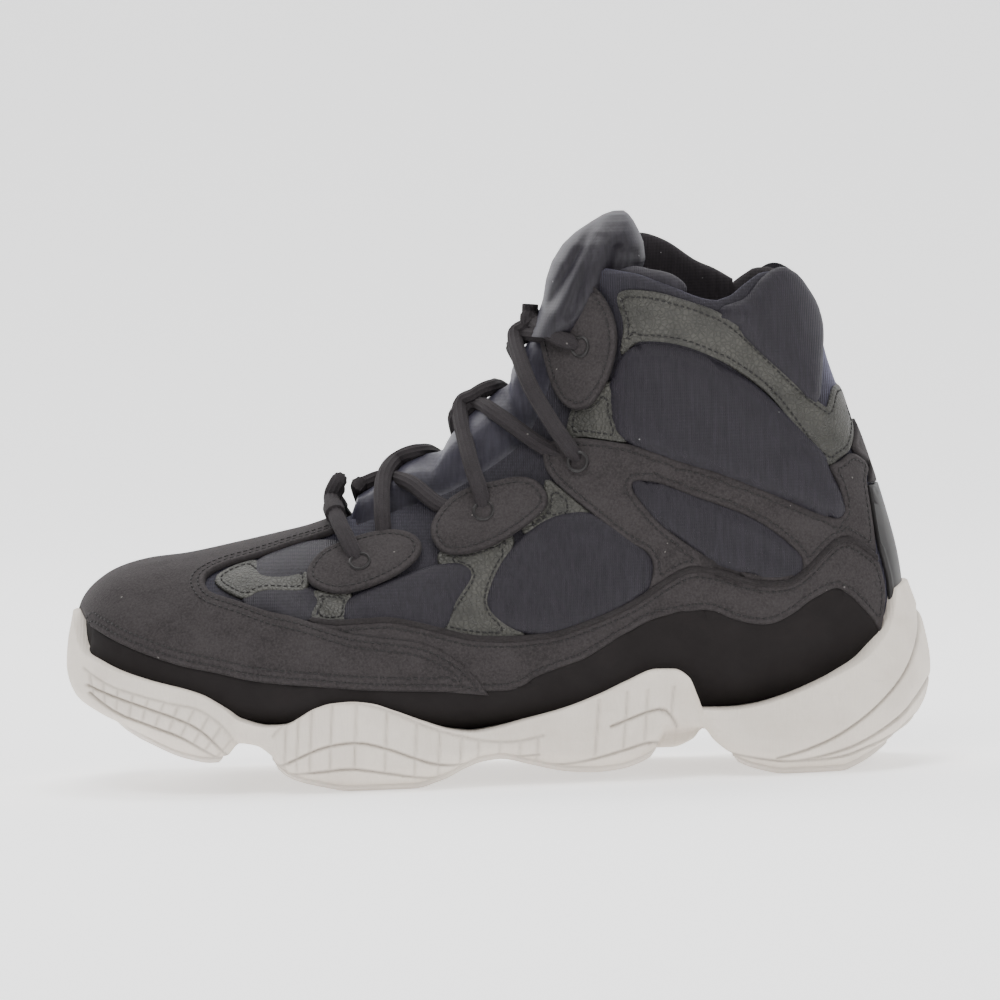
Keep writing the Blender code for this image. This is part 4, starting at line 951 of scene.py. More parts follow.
def build_bootie():
    """Hollow bootie: outer skin, rolled collar and lining, open at throat and bottom."""
    bend = np.sin(np.linspace(0, math.pi / 2, 9)[1:])
    rows = np.concatenate([np.linspace(0, ROLL_START, BOOTIE_ROWS),
                           ROLL_START + (ROLL_END - ROLL_START) * bend])
    roll = np.clip((rows - ROLL_START) / (ROLL_END - ROLL_START), 0, 1)
    closing = np.sqrt(np.maximum(0, 1 - roll**2))[:, None]
    full = []
    for row in rows:
        side = side_angles(row, float(share(LOWER_EDGE, row)))
        over = np.linspace(side[-1], math.pi, 7)[1:]
        full.append(np.concatenate([side, over, 2 * math.pi - over[-2::-1], 2 * math.pi - side[:0:-1]]))
    rings = np.array(full)
    count = rings.shape[1]
    grid = np.repeat(rows[:, None], count, axis=1)
    half = wall_thickness(rows)[:, None] / 2
    outer = last_point(grid, rings, -half + half * closing - 0.1 * MM)
    inner = last_point(grid, rings, -half - half * closing - 0.1 * MM)
    vertices = np.concatenate([outer.reshape(-1, 3), inner.reshape(-1, 3)])
    shift = len(vertices) // 2
    faces, lining = [], []
    edges = {}
    for i in range(len(rows) - 1):
        middle = (rows[i] + rows[i + 1]) / 2
        low = float(share(LOWER_EDGE, middle))
        high = float(throat_angle(middle)) if middle > THROAT_ROW else math.pi + 1
        for j in range(count):
            following = (j + 1) % count
            angle = (rings[i, j] + (rings[i, following] if following else 2 * math.pi)) / 2
            turn = min(angle, 2 * math.pi - angle)
            if (1.5 < middle < 15.0 and turn < low) or turn > high:
                continue
            a, b = i * count + j, i * count + following
            cell = (a, b, b + count, a + count)
            faces.append(cell)
            lining.append(0)
            faces.append(tuple(shift + k for k in reversed(cell)))
            lining.append(1)
            for edge in zip(cell, cell[1:] + cell[:1]):
                edges[edge] = i
    faces.append(tuple(reversed(range(count))))
    lining.append(0)
    faces.append(tuple(shift + k for k in range(count)))
    lining.append(1)
    for k in range(count):
        edges[((k + 1) % count, k)] = 0
    for (a, b), i in edges.items():
        if (b, a) not in edges and i < len(rows) - 2:
            faces.append((b, a, shift + a, shift + b))
            lining.append(1)
    item = add_object("bootie", vertices, faces, BOOTIE_CLOTH)
    item.data.materials.append(LINING)
    item.data.polygons.foreach_set("material_index", lining)
    model = bmesh.new()
    model.from_mesh(item.data)
    bmesh.ops.remove_doubles(model, verts=model.verts, dist=1e-5)
    loose = [vertex for vertex in model.verts if not vertex.link_faces]
    bmesh.ops.delete(model, geom=loose, context="VERTS")
    bmesh.ops.recalc_face_normals(model, faces=model.faces)
    item.data.materials.append(NUBUCK)
    for face in model.faces:
        if face.calc_center_median().x < -0.42 * SHOE_LENGTH and face.material_index == 0:
            face.material_index = 2
    model.to_mesh(item.data)
    model.free()
    smooth_again(item, 55)
    return place_piece(item, "nylon", "upper")


BOOTIE_CLOTH = woven("bootie cloth", (0.0095, 0.0080, 0.0110), (0.0185, 0.0160, 0.0210), 1300.0,
                     0.12 * MM, 0.8)
bootie = build_bootie()
print("bootie:", len(bootie.data.polygons), "faces")

# %% [markdown]
# ## Padded windows
# Between the suede arms sit panels of ribbed nylon with foam behind them. Sewn down at
# the edge, they swell to a crown of 1 to 3 mm. No cloth simulation was tried on them. A
# profile of the distance to the seam gives a crown this low, and it keeps the seam where
# the suede covers it.

# %% Outlines of the windows
WINDOWS = {
    "window_toe": ((-0.285, 0.335), (-0.252, 0.346), (-0.215, 0.348), (-0.200, 0.334),
                   (-0.206, 0.303), (-0.228, 0.302), (-0.259, 0.316)),
    "window_2": ((-0.170, 0.309), (-0.168, 0.323), (-0.159, 0.333), (-0.104, 0.363),
                 (-0.069, 0.378), (-0.043, 0.382), (-0.030, 0.372), (-0.030, 0.358),
                 (-0.047, 0.322), (-0.064, 0.274), (-0.094, 0.285), (-0.128, 0.294), (-0.167, 0.294)),
    "window_3": ((-0.004, 0.341), (0.011, 0.384), (0.037, 0.427), (0.065, 0.453), (0.095, 0.463),
                 (0.116, 0.458), (0.146, 0.429), (0.174, 0.389), (0.177, 0.358), (0.170, 0.330),
                 (0.133, 0.297), (0.092, 0.274), (0.061, 0.262), (0.029, 0.269), (0.007, 0.287),
                 (-0.007, 0.313)),
    "window_4": ((0.160, 0.511), (0.167, 0.519), (0.193, 0.513), (0.228, 0.491), (0.272, 0.465),
                 (0.298, 0.446), (0.324, 0.418), (0.343, 0.389), (0.352, 0.367), (0.342, 0.346),
                 (0.305, 0.343), (0.259, 0.365), (0.227, 0.400), (0.192, 0.442), (0.165, 0.493)),
    "window_5": ((0.153, 0.725), (0.169, 0.747), (0.195, 0.748), (0.234, 0.733), (0.271, 0.704),
                 (0.308, 0.664), (0.348, 0.598), (0.373, 0.555), (0.386, 0.515), (0.397, 0.474),
                 (0.398, 0.453), (0.390, 0.443), (0.371, 0.452), (0.336, 0.477), (0.265, 0.525),
                 (0.212, 0.552), (0.167, 0.581), (0.153, 0.598), (0.141, 0.628), (0.141, 0.679),
                 (0.148, 0.701)),
    "window_vamp": ((-0.268, 0.392), (-0.229, 0.412), (-0.203, 0.420), (-0.182, 0.421),
                    (-0.172, 0.413), (-0.200, 0.384), (-0.241, 0.370), (-0.270, 0.374)),
    "window_heel": ((0.268, 0.808), (0.296, 0.825), (0.317, 0.859), (0.335, 0.875), (0.350, 0.866),
                    (0.362, 0.837), (0.372, 0.800), (0.377, 0.752), (0.372, 0.655), (0.364, 0.655),
                    (0.346, 0.685), (0.310, 0.740), (0.286, 0.780)),
}
WINDOW_CROWNS = {"window_toe": 1.0, "window_2": 2.0, "window_3": 2.4, "window_4": 2.2,
                 "window_5": 3.2, "window_vamp": 1.2, "window_heel": 3.0}
WINDOW_GROWTH = 1.3 * MM
WINDOW_INSETS = (0.5 * MM, 1.2 * MM, 2.2 * MM)


def grown(outline, distance):
    """Side-view outline pushed outward by a distance, to run under its neighbours."""
    points = smooth_line(np.asarray(outline) * SIDE_SIZE, EDGE_STEP, True)
    ahead, behind = np.roll(points, -1, axis=0), np.roll(points, 1, axis=0)
    tangent = ahead - behind
    normal = np.stack([tangent[:, 1], -tangent[:, 0]], axis=-1)
    normal /= np.maximum(np.linalg.norm(normal, axis=1, keepdims=True), 1e-12)
    area = np.sum(points[:, 0] * ahead[:, 1] - ahead[:, 0] * points[:, 1])
    return (points + normal * distance * (1 if area > 0 else -1)) / SIDE_SIZE


def build_windows():
    """Crowned nylon panels on both sides, each its own padded piece."""
    for name, outline in WINDOWS.items():
        filled = fill_outline([dense_run(grown(outline, WINDOW_GROWTH))], insets=WINDOW_INSETS)
        crown = WINDOW_CROWNS[name] * MM
        height = 0.2 * MM + crowned_profile(filled["distance"], crown, crown * 2.6)
        for side, word in SIDES:
            piece = panel(name + "_" + word, filled, (side,), -0.1 * MM, height, NYLON)
            place_piece(piece, "nylon")
        print(name, len(filled["triangles"]), "triangles a side")


build_windows()

# %% [markdown]
# ## Overlays of suede, leather and rubber
# The outer panels carry the load of the foot. The leather pieces and the smooth band lie
# lowest, the side suede lies over them, the toe cap laps over the side suede, and the
# eyelet tabs lie on top. Each is cut from its drawn outline, and its layer says how high
# its underside lies.

# %% Lines that the panels are cut to
RIM_LINE = ((-0.500, 0.300), (-0.487, 0.262), (-0.477, 0.243), (-0.464, 0.234), (-0.438, 0.218),
            (-0.403, 0.202), (-0.343, 0.178), (-0.310, 0.149), (-0.296, 0.132), (-0.263, 0.119),
            (-0.245, 0.120), (-0.209, 0.147), (-0.190, 0.155), (-0.168, 0.157), (-0.145, 0.153),
            (-0.120, 0.140), (-0.086, 0.119), (-0.052, 0.101), (-0.029, 0.096), (-0.004, 0.101),
            (0.030, 0.113), (0.077, 0.131), (0.118, 0.154), (0.146, 0.173), (0.181, 0.192),
            (0.201, 0.191), (0.217, 0.177), (0.227, 0.140), (0.232, 0.120), (0.265, 0.118),
            (0.291, 0.122), (0.325, 0.135), (0.348, 0.147), (0.387, 0.171), (0.420, 0.195),
            (0.442, 0.222), (0.454, 0.240), (0.464, 0.268), (0.472, 0.310), (0.500, 0.322))
MUD_LINE = ((-0.520, 0.330), (-0.480, 0.306), (-0.460, 0.288), (-0.426, 0.263), (-0.389, 0.241),
            (-0.355, 0.225), (-0.320, 0.214), (-0.285, 0.201), (-0.250, 0.193), (-0.206, 0.186),
            (-0.150, 0.177), (-0.062, 0.169), (0.007, 0.166), (0.030, 0.176), (0.044, 0.188),
            (0.078, 0.205), (0.101, 0.217), (0.135, 0.246), (0.171, 0.274), (0.198, 0.286),
            (0.224, 0.291), (0.246, 0.290), (0.269, 0.274), (0.294, 0.264), (0.316, 0.265),
            (0.340, 0.282), (0.359, 0.302), (0.385, 0.320), (0.399, 0.311), (0.413, 0.289),
            (0.427, 0.263), (0.436, 0.234))
SUEDE_LINE = ((0.436, 0.362), (0.424, 0.380), (0.410, 0.397), (0.398, 0.403), (0.385, 0.396),
              (0.370, 0.375), (0.353, 0.350), (0.334, 0.334), (0.310, 0.332), (0.282, 0.340),
              (0.254, 0.355), (0.226, 0.361), (0.207, 0.352), (0.184, 0.332), (0.161, 0.310),
              (0.126, 0.286), (0.070, 0.259), (0.031, 0.253), (-0.003, 0.253), (-0.033, 0.258),
              (-0.060, 0.269), (-0.094, 0.283), (-0.128, 0.292), (-0.174, 0.290), (-0.213, 0.296),
              (-0.253, 0.312), (-0.287, 0.328), (-0.321, 0.343), (-0.331, 0.358))
VAMP_STRIP = ((-0.328, 0.371), (-0.307, 0.386), (-0.272, 0.399), (-0.229, 0.417), (-0.203, 0.427),
              (-0.183, 0.436), (-0.170, 0.446))
HEEL_STRIP_FRONT = ((0.428, 0.492), (0.431, 0.460), (0.434, 0.421), (0.438, 0.384),
                    (0.443, 0.354), (0.448, 0.310), (0.450, 0.200))
TOE_CAP_LINE = ((-0.228, 0.302), (-0.190, 0.285), (-0.160, 0.272), (-0.125, 0.264), (-0.090, 0.255),
                (-0.066, 0.241), (-0.043, 0.218), (-0.026, 0.192), (-0.012, 0.160))
EYELET_TABS = {
    "eyelet_tab_2": ((-0.214, 0.364), (-0.210, 0.383), (-0.196, 0.402), (-0.173, 0.417),
                     (-0.141, 0.432), (-0.113, 0.438), (-0.092, 0.432), (-0.082, 0.415),
                     (-0.088, 0.391), (-0.114, 0.364), (-0.152, 0.343), (-0.183, 0.339),
                     (-0.205, 0.349)),
    "eyelet_tab_3": ((-0.070, 0.427), (-0.067, 0.455), (-0.048, 0.488), (-0.023, 0.509),
                     (0.006, 0.520), (0.030, 0.527), (0.051, 0.521), (0.063, 0.498),
                     (0.060, 0.473), (0.033, 0.440), (0.001, 0.413), (-0.030, 0.399),
                     (-0.057, 0.401)),
    "eyelet_tab_5": ((0.076, 0.806), (0.092, 0.847), (0.114, 0.866), (0.131, 0.853),
                     (0.145, 0.818), (0.151, 0.772), (0.146, 0.726), (0.136, 0.688),
                     (0.117, 0.650), (0.096, 0.644), (0.080, 0.668), (0.071, 0.714),
                     (0.067, 0.768))}
STAR = ((0.109, 0.594), (0.077, 0.592), (0.063, 0.578), (0.061, 0.551), (0.070, 0.524),
        (0.088, 0.497), (0.108, 0.471), (0.149, 0.418), (0.173, 0.395), (0.180, 0.370),
        (0.176, 0.341), (0.172, 0.326), (0.184, 0.338), (0.207, 0.358), (0.226, 0.367),
        (0.254, 0.361), (0.282, 0.346), (0.310, 0.338), (0.334, 0.340), (0.353, 0.356),
        (0.370, 0.381), (0.385, 0.402), (0.398, 0.409), (0.410, 0.403), (0.424, 0.386),
        (0.433, 0.374), (0.431, 0.421), (0.428, 0.460), (0.425, 0.500), (0.428, 0.524),
        (0.411, 0.550), (0.396, 0.539), (0.384, 0.530), (0.393, 0.498), (0.398, 0.474),
        (0.398, 0.453), (0.390, 0.443), (0.371, 0.452), (0.336, 0.477), (0.265, 0.525),
        (0.212, 0.552), (0.167, 0.578), (0.153, 0.584))
STAR_WINDOW = ((0.160, 0.511), (0.167, 0.519), (0.193, 0.513), (0.228, 0.491), (0.272, 0.465),
               (0.298, 0.446), (0.324, 0.418), (0.343, 0.389), (0.350, 0.368), (0.342, 0.352),
               (0.305, 0.349), (0.259, 0.370), (0.227, 0.400), (0.192, 0.442), (0.165, 0.493))
COLLAR_BAND = ((0.153, 0.843), (0.186, 0.846), (0.224, 0.830), (0.261, 0.808), (0.286, 0.780),
               (0.321, 0.725), (0.358, 0.665), (0.380, 0.634), (0.386, 0.633), (0.397, 0.668),
               (0.408, 0.623), (0.413, 0.590), (0.408, 0.559), (0.395, 0.545), (0.382, 0.537),
               (0.358, 0.580), (0.320, 0.660), (0.284, 0.707), (0.247, 0.740), (0.210, 0.759),
               (0.172, 0.762), (0.154, 0.740), (0.158, 0.790))
HEEL_BACK = ((0.402, 0.682), (0.412, 0.625), (0.417, 0.590), (0.412, 0.557), (0.431, 0.528),
             (0.430, 0.498), (0.520, 0.498), (0.520, 0.682))
VAMP_LEATHER = {
    "vamp_leather_toe": ((-0.318, 0.365), (-0.307, 0.378), (-0.288, 0.388), (-0.272, 0.392),
                         (-0.269, 0.384), (-0.240, 0.383), (-0.218, 0.383), (-0.218, 0.352),
                         (-0.265, 0.350), (-0.284, 0.340), (-0.303, 0.349)),
    "vamp_leather_2": ((-0.206, 0.344), (-0.183, 0.340), (-0.166, 0.341), (-0.168, 0.323),
                       (-0.170, 0.309), (-0.167, 0.296), (-0.200, 0.298), (-0.209, 0.307),
                       (-0.202, 0.330)),
    "vamp_leather_3": ((-0.060, 0.404), (-0.030, 0.404), (0.001, 0.418), (0.020, 0.430),
                       (0.018, 0.400), (0.009, 0.384), (-0.004, 0.345), (-0.007, 0.313),
                       (0.005, 0.287), (0.025, 0.266), (0.028, 0.259), (-0.003, 0.259),
                       (-0.033, 0.264), (-0.060, 0.275), (-0.066, 0.281), (-0.047, 0.322),
                       (-0.030, 0.358), (-0.030, 0.372), (-0.043, 0.382), (-0.060, 0.385)),
    "vamp_leather_4": ((0.061, 0.478), (0.062, 0.520), (0.074, 0.511), (0.104, 0.471),
                       (0.112, 0.461), (0.095, 0.463), (0.065, 0.453), (0.040, 0.434),
                       (0.036, 0.447)),
    "vamp_leather_5": ((0.098, 0.648), (0.118, 0.656), (0.140, 0.690), (0.141, 0.628),
                       (0.151, 0.598), (0.153, 0.589), (0.109, 0.599), (0.090, 0.598))}
# Underside and thickness of each layer, in millimetres above the last
LAYERS = {"leather": (0.0, 1.2), "band": (0.0, 1.4), "side": (0.35, 1.5), "toe": (0.45, 2.0),
          "star": (0.35, 1.6), "tab": (1.6, 1.6), "rubber": (0.2, 1.7)}


def between(line, first_x, final_x):
    """Stretch of a drawn line between two places along the shoe, either way round."""
    low, high = min(first_x, final_x), max(first_x, final_x)
    return [point for point in line if low <= point[0] <= high]


def overlay(name, filled, sides, layer, material, **profile):
    """Sewn panel of one layer: its underside and thickness come from LAYERS, in mm."""
    base, thick = (value * MM for value in LAYERS[layer])
    height = sewn_profile(filled["distance"], thick, **profile)
    return panel(name, filled, sides, base, height, material)


def build_toe_cap():
    """Suede toe cap with the strip that runs up the vamp to the lace's loop."""
    lower = edge_run(between(MUD_LINE, -0.479, -0.02))
    upper = edge_run(list(reversed(TOE_CAP_LINE)) + between(SUEDE_LINE, -0.25, -0.34))
    strip = edge_run([SUEDE_LINE[-1], *VAMP_STRIP])
    top = middle_run(8.75, 0.0, math.pi)
    filled = fill_outline([lower, upper, strip[1:], top])
    return overlay("toe_cap", filled, BOTH, "toe", SUEDE)


def build_side_suede():
    """Suede along each side, from under the toe cap to the heel strip."""
    lower = edge_run(between(MUD_LINE, -0.07, 0.44))
    heel = edge_run([(0.437, 0.236), (0.443, 0.300), (0.440, 0.340), (0.436, 0.362)])
    upper = edge_run(between(SUEDE_LINE, 0.5, -0.235))
    under = edge_run([(-0.225, 0.290), (-0.190, 0.272), (-0.160, 0.260), (-0.125, 0.252),
                      (-0.093, 0.243), (-0.074, 0.229), (-0.058, 0.206), (-0.062, 0.172)])
    filled = fill_outline([lower, heel[1:-1], upper, under[:-1]])
    return [overlay("side_suede_" + word, filled, (side,), "side", SUEDE) for side, word in SIDES]


def build_band():
    """Smooth dark band round the whole shoe, between the suede and the sole's rim."""
    upper = edge_run([(x, z + 0.004) for x, z in between(MUD_LINE, -0.479, 0.44)])
    heel = edge_run([(0.438, 0.236), (0.443, 0.200), (0.440, 0.176)])
    rim = [(x, z - 0.022) for x, z in reversed(RIM_LINE) if -0.46 < x < 0.44]
    lower = edge_run(rim + [(-0.470, 0.225)])
    filled = fill_outline([upper, heel[1:], lower[1:]])
    return overlay("band", filled, BOTH, "band", NUBUCK, channel=0.0)


def build_heel():
    """Rubber strip up the back of the heel, and the suede above it."""
    front = edge_run([(x + 0.001, z) for x, z in HEEL_STRIP_FRONT])
    middle = middle_run(15.9, 19.38, 0.0)
    top = edge_run([(0.4365, 0.4925), (0.428, 0.4925)])
    strip = overlay("heel_strip_piece", fill_outline([front, middle, top[1:-1]]), BOTH, "rubber", RUBBER)
    outline = edge_run([(0.400, 0.690)] + list(HEEL_BACK[:6]))
    back = overlay("heel_back_piece", fill_outline([outline, middle_run(19.45, 21.75, 0.0)]), BOTH,
                   "side", SUEDE)
    return strip, back


def build_side_panels():
    """Star piece, eyelet tabs, collar band and the leather pieces of both sides."""
    made = []
    star = fill_outline([edge_run(STAR, True)], holes=[edge_run(STAR_WINDOW, True)])
    shapes = [("star", star, "star", SUEDE, "suede"),
              ("collar_band", fill_outline([dense_run(grown(COLLAR_BAND, 0.5 * MM))]), "leather",
               LEATHER, "leather")]
    for name, outline in VAMP_LEATHER.items():
        filled = fill_outline([dense_run(grown(outline, 0.7 * MM))], insets=INSETS[:4])
        shapes.append((name, filled, "leather", LEATHER, "leather"))
    for name, outline in EYELET_TABS.items():
        shapes.append((name, fill_outline([edge_run(outline, True)]), "tab", SUEDE, "suede"))
    for name, filled, layer, material, slot in shapes:
        for side, word in SIDES:
            piece = overlay(name + "_piece_" + word, filled, (side,), layer, material)
            made.append(place_piece(piece, slot, name + "_" + word))
        print(name, len(filled["triangles"]), "triangles a side")
    return made


toe_cap = place_piece(build_toe_cap(), "suede", "suede_overlay")
side_suede = [place_piece(piece, "suede") for piece in build_side_suede()]
band = place_piece(build_band(), "nubuck", "mudguard_lateral", "mudguard_medial")
heel_strip, heel_back = build_heel()
place_piece(heel_strip, "rubber", "heel_strip")
place_piece(heel_back, "suede", "heel_back")
side_panels = build_side_panels()
print(len([toe_cap, band, heel_strip, heel_back, *side_suede, *side_panels]), "overlays")

# %% [markdown]
# ## Round cords and piping
# A cord is a tube along a path. The ring of points that runs along it can be a plain
# circle for piping or have low ribs for a braided lace. The rings are carried along the
# path without twisting, so that ribs stay straight, and both ends are closed.

# %% Tubes along a path
PATH_STEP = 1.2 * MM


def tube(name, path, radius, material, sides=14, ribs=0, rib_depth=0.0, taper=0.0):
    """Closed tube through dense points, with lengthwise ribs and tapered ends."""
    path = np.asarray(path, dtype=float)
    tangent = np.gradient(path, axis=0)
    tangent /= np.linalg.norm(tangent, axis=1, keepdims=True)
    normal = np.cross(tangent[0], [0.31, 0.17, 0.94])
    normal /= np.linalg.norm(normal)
    rings = []
    turn = np.linspace(0, 2 * math.pi, sides, endpoint=False)
    girth = radius * (1 + rib_depth * np.cos(ribs * turn))
    length = np.concatenate([[0], np.cumsum(np.linalg.norm(np.diff(path, axis=0), axis=1))])
    for k, place in enumerate(path):
        normal = normal - tangent[k] * (normal @ tangent[k])
        normal /= np.linalg.norm(normal)
        other = np.cross(tangent[k], normal)
        near_end = min(length[k], length[-1] - length[k])
        swell = 1.0 if taper <= 0 else math.sqrt(max(0.02, 1 - max(0, 1 - near_end / taper) ** 2))
        rings.append(place + (np.outer(np.cos(turn), normal) + np.outer(np.sin(turn), other))
                     * girth[:, None] * swell)
    faces = loft_faces(len(path), sides)
    faces.append(tuple(reversed(range(sides))))
    faces.append(tuple((len(path) - 1) * sides + j for j in range(sides)))
    return add_object(name, np.concatenate(rings), faces, material)


def side_path(line, side, lift):
    """Points over a drawn side-view line at a lift above the last."""
    place = locate(smooth_line(np.asarray(line) * SIDE_SIZE, PATH_STEP) / SIDE_SIZE)
    return last_point(place[:, 0], on_side(place[:, 1], side), lift)


PIPING_RADIUS = 1.15 * MM
PIPING_LIFT = 1.35 * MM
for side, word in SIDES:
    line = [(x, z + 0.002) for x, z in between(SUEDE_LINE, 0.5, -0.215)]
    piping = tube("piping_" + word, side_path(line, side, PIPING_LIFT), PIPING_RADIUS, SUEDE, 12,
                  taper=1.5 * MM)
    place_piece(piping, "suede")
print("piping runs", len(line), "drawn points a side")

# %% [markdown]
# ## The tongue
# The tongue fills the throat under the laces and stands above the collar. It is soft
# satin over foam, quilted by slanting seams, so it shows soft folds that run up and back.
# A grid across the throat follows the last, and its outer skin is lifted by the puff of
# the foam less the troughs of the folds. It thickens towards the top, and the folded end
# that stands above the collar is a separate loft.

# %% Tongue with slanting folds
TONGUE_START = 8.3
TONGUE_END = 24.6
TONGUE_ROUND = 1.2
TONGUE_PUFF = 5.2 * MM
TONGUE_TUCK = 9.0 * MM
TONGUE_GAP = 0.9 * MM
FOLD_PITCH = 2.35
FOLD_DEPTH = 3.4 * MM


def fold_depth(rows, across):
    """Troughs of the quilting: slanting back towards the middle, sharp below, soft above."""
    wave = (rows + 2.1 * np.abs(across) - 9.0) / FOLD_PITCH
    part = wave - np.floor(wave)
    trough = np.exp(-(np.minimum(part, 1 - part) / 0.16) ** 2)
    lean = 0.35 * np.sin(math.pi * part) * np.sin(wave * 1.7 + 0.6)
    fade = np.clip((rows - 9.5) / 1.5, 0, 1) * np.clip((25.2 - rows) / 1.5, 0, 1)
    return FOLD_DEPTH * (trough - lean) * fade


def build_tongue():
    """Padded tongue: outer skin with folds, inner skin, rounded top and tucked sides."""
    round_start = TONGUE_END - TONGUE_ROUND
    rows = np.concatenate([np.linspace(TONGUE_START, round_start, 120),
                           round_start + TONGUE_ROUND * np.sin(np.linspace(0, math.pi / 2, 14)[1:])])
    shares = np.sin(np.linspace(-1, 1, 61) * math.pi / 2)
    values = section_values(rows)
    half = share(THROAT_HALF, rows) * BALL_HALF_WIDTH
    top = eased(np.clip((rows - 20.0) / 5.0, 0, 1))
    reach = half + TONGUE_TUCK * (1 - 0.15 * top)
    across = shares[None, :] * reach[:, None]
    width = values["lateral"][:, None] * BALL_HALF_WIDTH
    lean = np.arcsin(np.clip(np.abs(across) / width, 0, 0.985) ** (values["high"][:, None] / 2))
    rings = math.pi + np.sign(across) * lean
    inside = np.abs(across) / np.maximum(half - 0.002, 0.001)[:, None]
    puff = eased(np.clip((1.0 - inside) / 0.45, 0, 1))
    tucked = -(wall_thickness(rows)[:, None] + TONGUE_GAP)
    free = np.clip((rows - 24.2) / 0.8, 0, 1)[:, None]
    start = np.clip((rows - THROAT_ROW + 0.35) / 0.55, 0, 1)[:, None]
    crest = tucked + (TONGUE_PUFF - tucked) * puff * start
    crest = crest + free * (1 - puff) * 1.5 * MM
    outer = crest - fold_depth(rows[:, None], across / BALL_HALF_WIDTH) * puff
    thickness = (6 * MM + 8 * MM * top)[:, None]
    closing = np.sqrt(1 - np.clip((rows - round_start) / TONGUE_ROUND, 0, 1) ** 2)[:, None]
    edge = 1 - 0.65 * np.abs(shares[None, :]) ** 3
    inner = np.minimum(tucked, 0) - thickness * edge
    middle = (outer + inner) / 2
    outer = middle + (outer - middle) * closing
    inner = middle + (inner - middle) * closing
    count = len(shares)
    grid = np.repeat(rows[:, None], count, axis=1)
    vertices = np.concatenate([last_point(grid, rings, outer).reshape(-1, 3),
                               last_point(grid, rings, inner).reshape(-1, 3)])
    item = add_object("tongue_pad", vertices, slab_faces(len(rows), count), SATIN, 60)
    turn_faces_out(item, weld=0.01 * MM, sharp=60)
    place_piece(item, "nylon", "tongue")
    return item


tongue_pad = build_tongue()
print("tongue:", len(tongue_pad.data.polygons), "faces")

# %% Top of the tongue
# Height, front, back and half width of the folded top, in millimetres
TONGUE_TOP = ((154, 15.0, 34.0, 22.0), (160, 17.5, 38.0, 24.0), (167, 20.0, 47.0, 25.5),
              (174, 21.3, 54.5, 26.0), (180, 23.5, 56.5, 25.5), (186, 27.5, 56.0, 24.0),
              (190, 32.0, 54.5, 21.5), (193.5, 37.5, 52.8, 17.5), (196.0, 42.0, 51.0, 12.0),
              (197.2, 45.6, 49.4, 4.0))
# Folds of the top: a line in side view, its half width and depth, in millimetres
TONGUE_TOP_FOLDS = ((22.5, 166.0, 39.0, 194.0, 2.0, 3.6), (29.0, 162.0, 39.5, 189.0, 1.5, 1.8),
                    (41.0, 166.0, 47.0, 184.0, 2.8, 3.8), (51.0, 168.0, 52.5, 182.0, 2.0, 2.0))


def line_distance(x, z, x0, z0, x1, z1):
    """Distance of side-view places from a short line."""
    run = np.array([x1 - x0, z1 - z0])
    part = np.clip(((x - x0) * run[0] + (z - z0) * run[1]) / (run @ run), 0, 1)
    return np.hypot(x - x0 - part * run[0], z - z0 - part * run[1])


def closed_loft(name, rings, material):
    """Closed skin over rings of equal size, capped at both ends."""
    count, size = len(rings), len(rings[0])
    caps = [tuple(reversed(range(size))), tuple((count - 1) * size + k for k in range(size))]
    item = add_object(name, np.concatenate(rings), caps + loft_faces(count, size), material, 60)
    turn_faces_out(item, sharp=60)
    return item


def build_tongue_top():
    """Thick folded top of the tongue that stands above the collar."""
    table = np.array(TONGUE_TOP)
    levels = np.interp(np.linspace(0, 1, 64), np.linspace(0, 1, len(table)), table[:, 0])
    turn = np.linspace(0, 2 * math.pi, 120, endpoint=False)
    across, along = np.sin(turn), np.cos(turn)
    rings = []
    for z in levels:
        front, back, half = (np.interp(z, table[:, 0], table[:, k]) for k in (1, 2, 3))
        x = (front + back) / 2 + (back - front) / 2 * signed_power(along, 0.85)
        y = half * signed_power(across, 0.8)
        press = sum(depth * np.exp(-(line_distance(x, z, *fold) / wide) ** 2)
                    for *fold, wide, depth in TONGUE_TOP_FOLDS)
        y = y - np.sign(y) * np.minimum(press, np.abs(y) * 0.5)
        rings.append(np.column_stack([x, y, np.full(len(x), z)]) * MM)
    item = closed_loft("tongue_top", rings, DARK_SATIN)
    item.modifiers.new("soft", "SMOOTH").iterations = 3
    make_plain(item)
    place_piece(item, "nylon", "tongue")
    return item


tongue_top = build_tongue_top()
print("tongue top:", len(tongue_top.data.polygons), "faces")

# %% Padded collar behind the outer edge
# Top of the inner side of the collar in side view, in millimetres
INNER_COLLAR = ((50.0, 187.0), (56.0, 188.6), (65.0, 185.2), (74.5, 178.4), (81.5, 175.0), (88.0, 171.0))


def build_inner_collar():
    """High padded front of the collar's inner side, where it stands above the outer side."""
    top = smooth_line(np.array(INNER_COLLAR) * MM, 0.9 * MM)
    foot = np.column_stack([top[:, 0], np.interp(top[:, 0], (0.05, 0.09), (0.158, 0.155))])
    place = locate(foot / SIDE_SIZE)
    wall = last_point(place[:, 0], on_side(place[:, 1], 1), -4 * MM)[:, 1]
    turn = np.linspace(0, 2 * math.pi, 28, endpoint=False)
    rings = []
    for k in range(len(top)):
        end = min(k, len(top) - 1 - k) / 6
        swell = math.sqrt(max(0.05, 1 - max(0, 1 - end) ** 2))
        rise = top[k, 1] - foot[k, 1]
        z = foot[k, 1] + rise / 2 + rise / 2 * signed_power(np.cos(turn), 0.6)
        lean = 4 * MM * (z - foot[k, 1]) / 0.03
        y = wall[k] - lean + 3.2 * MM * swell * signed_power(np.sin(turn), 0.8)
        rings.append(np.column_stack([np.full(len(z), top[k, 0]), y, z]))
    item = closed_loft("inner_collar", rings, LINING)
    place_piece(item, "lining", "upper")
    return item


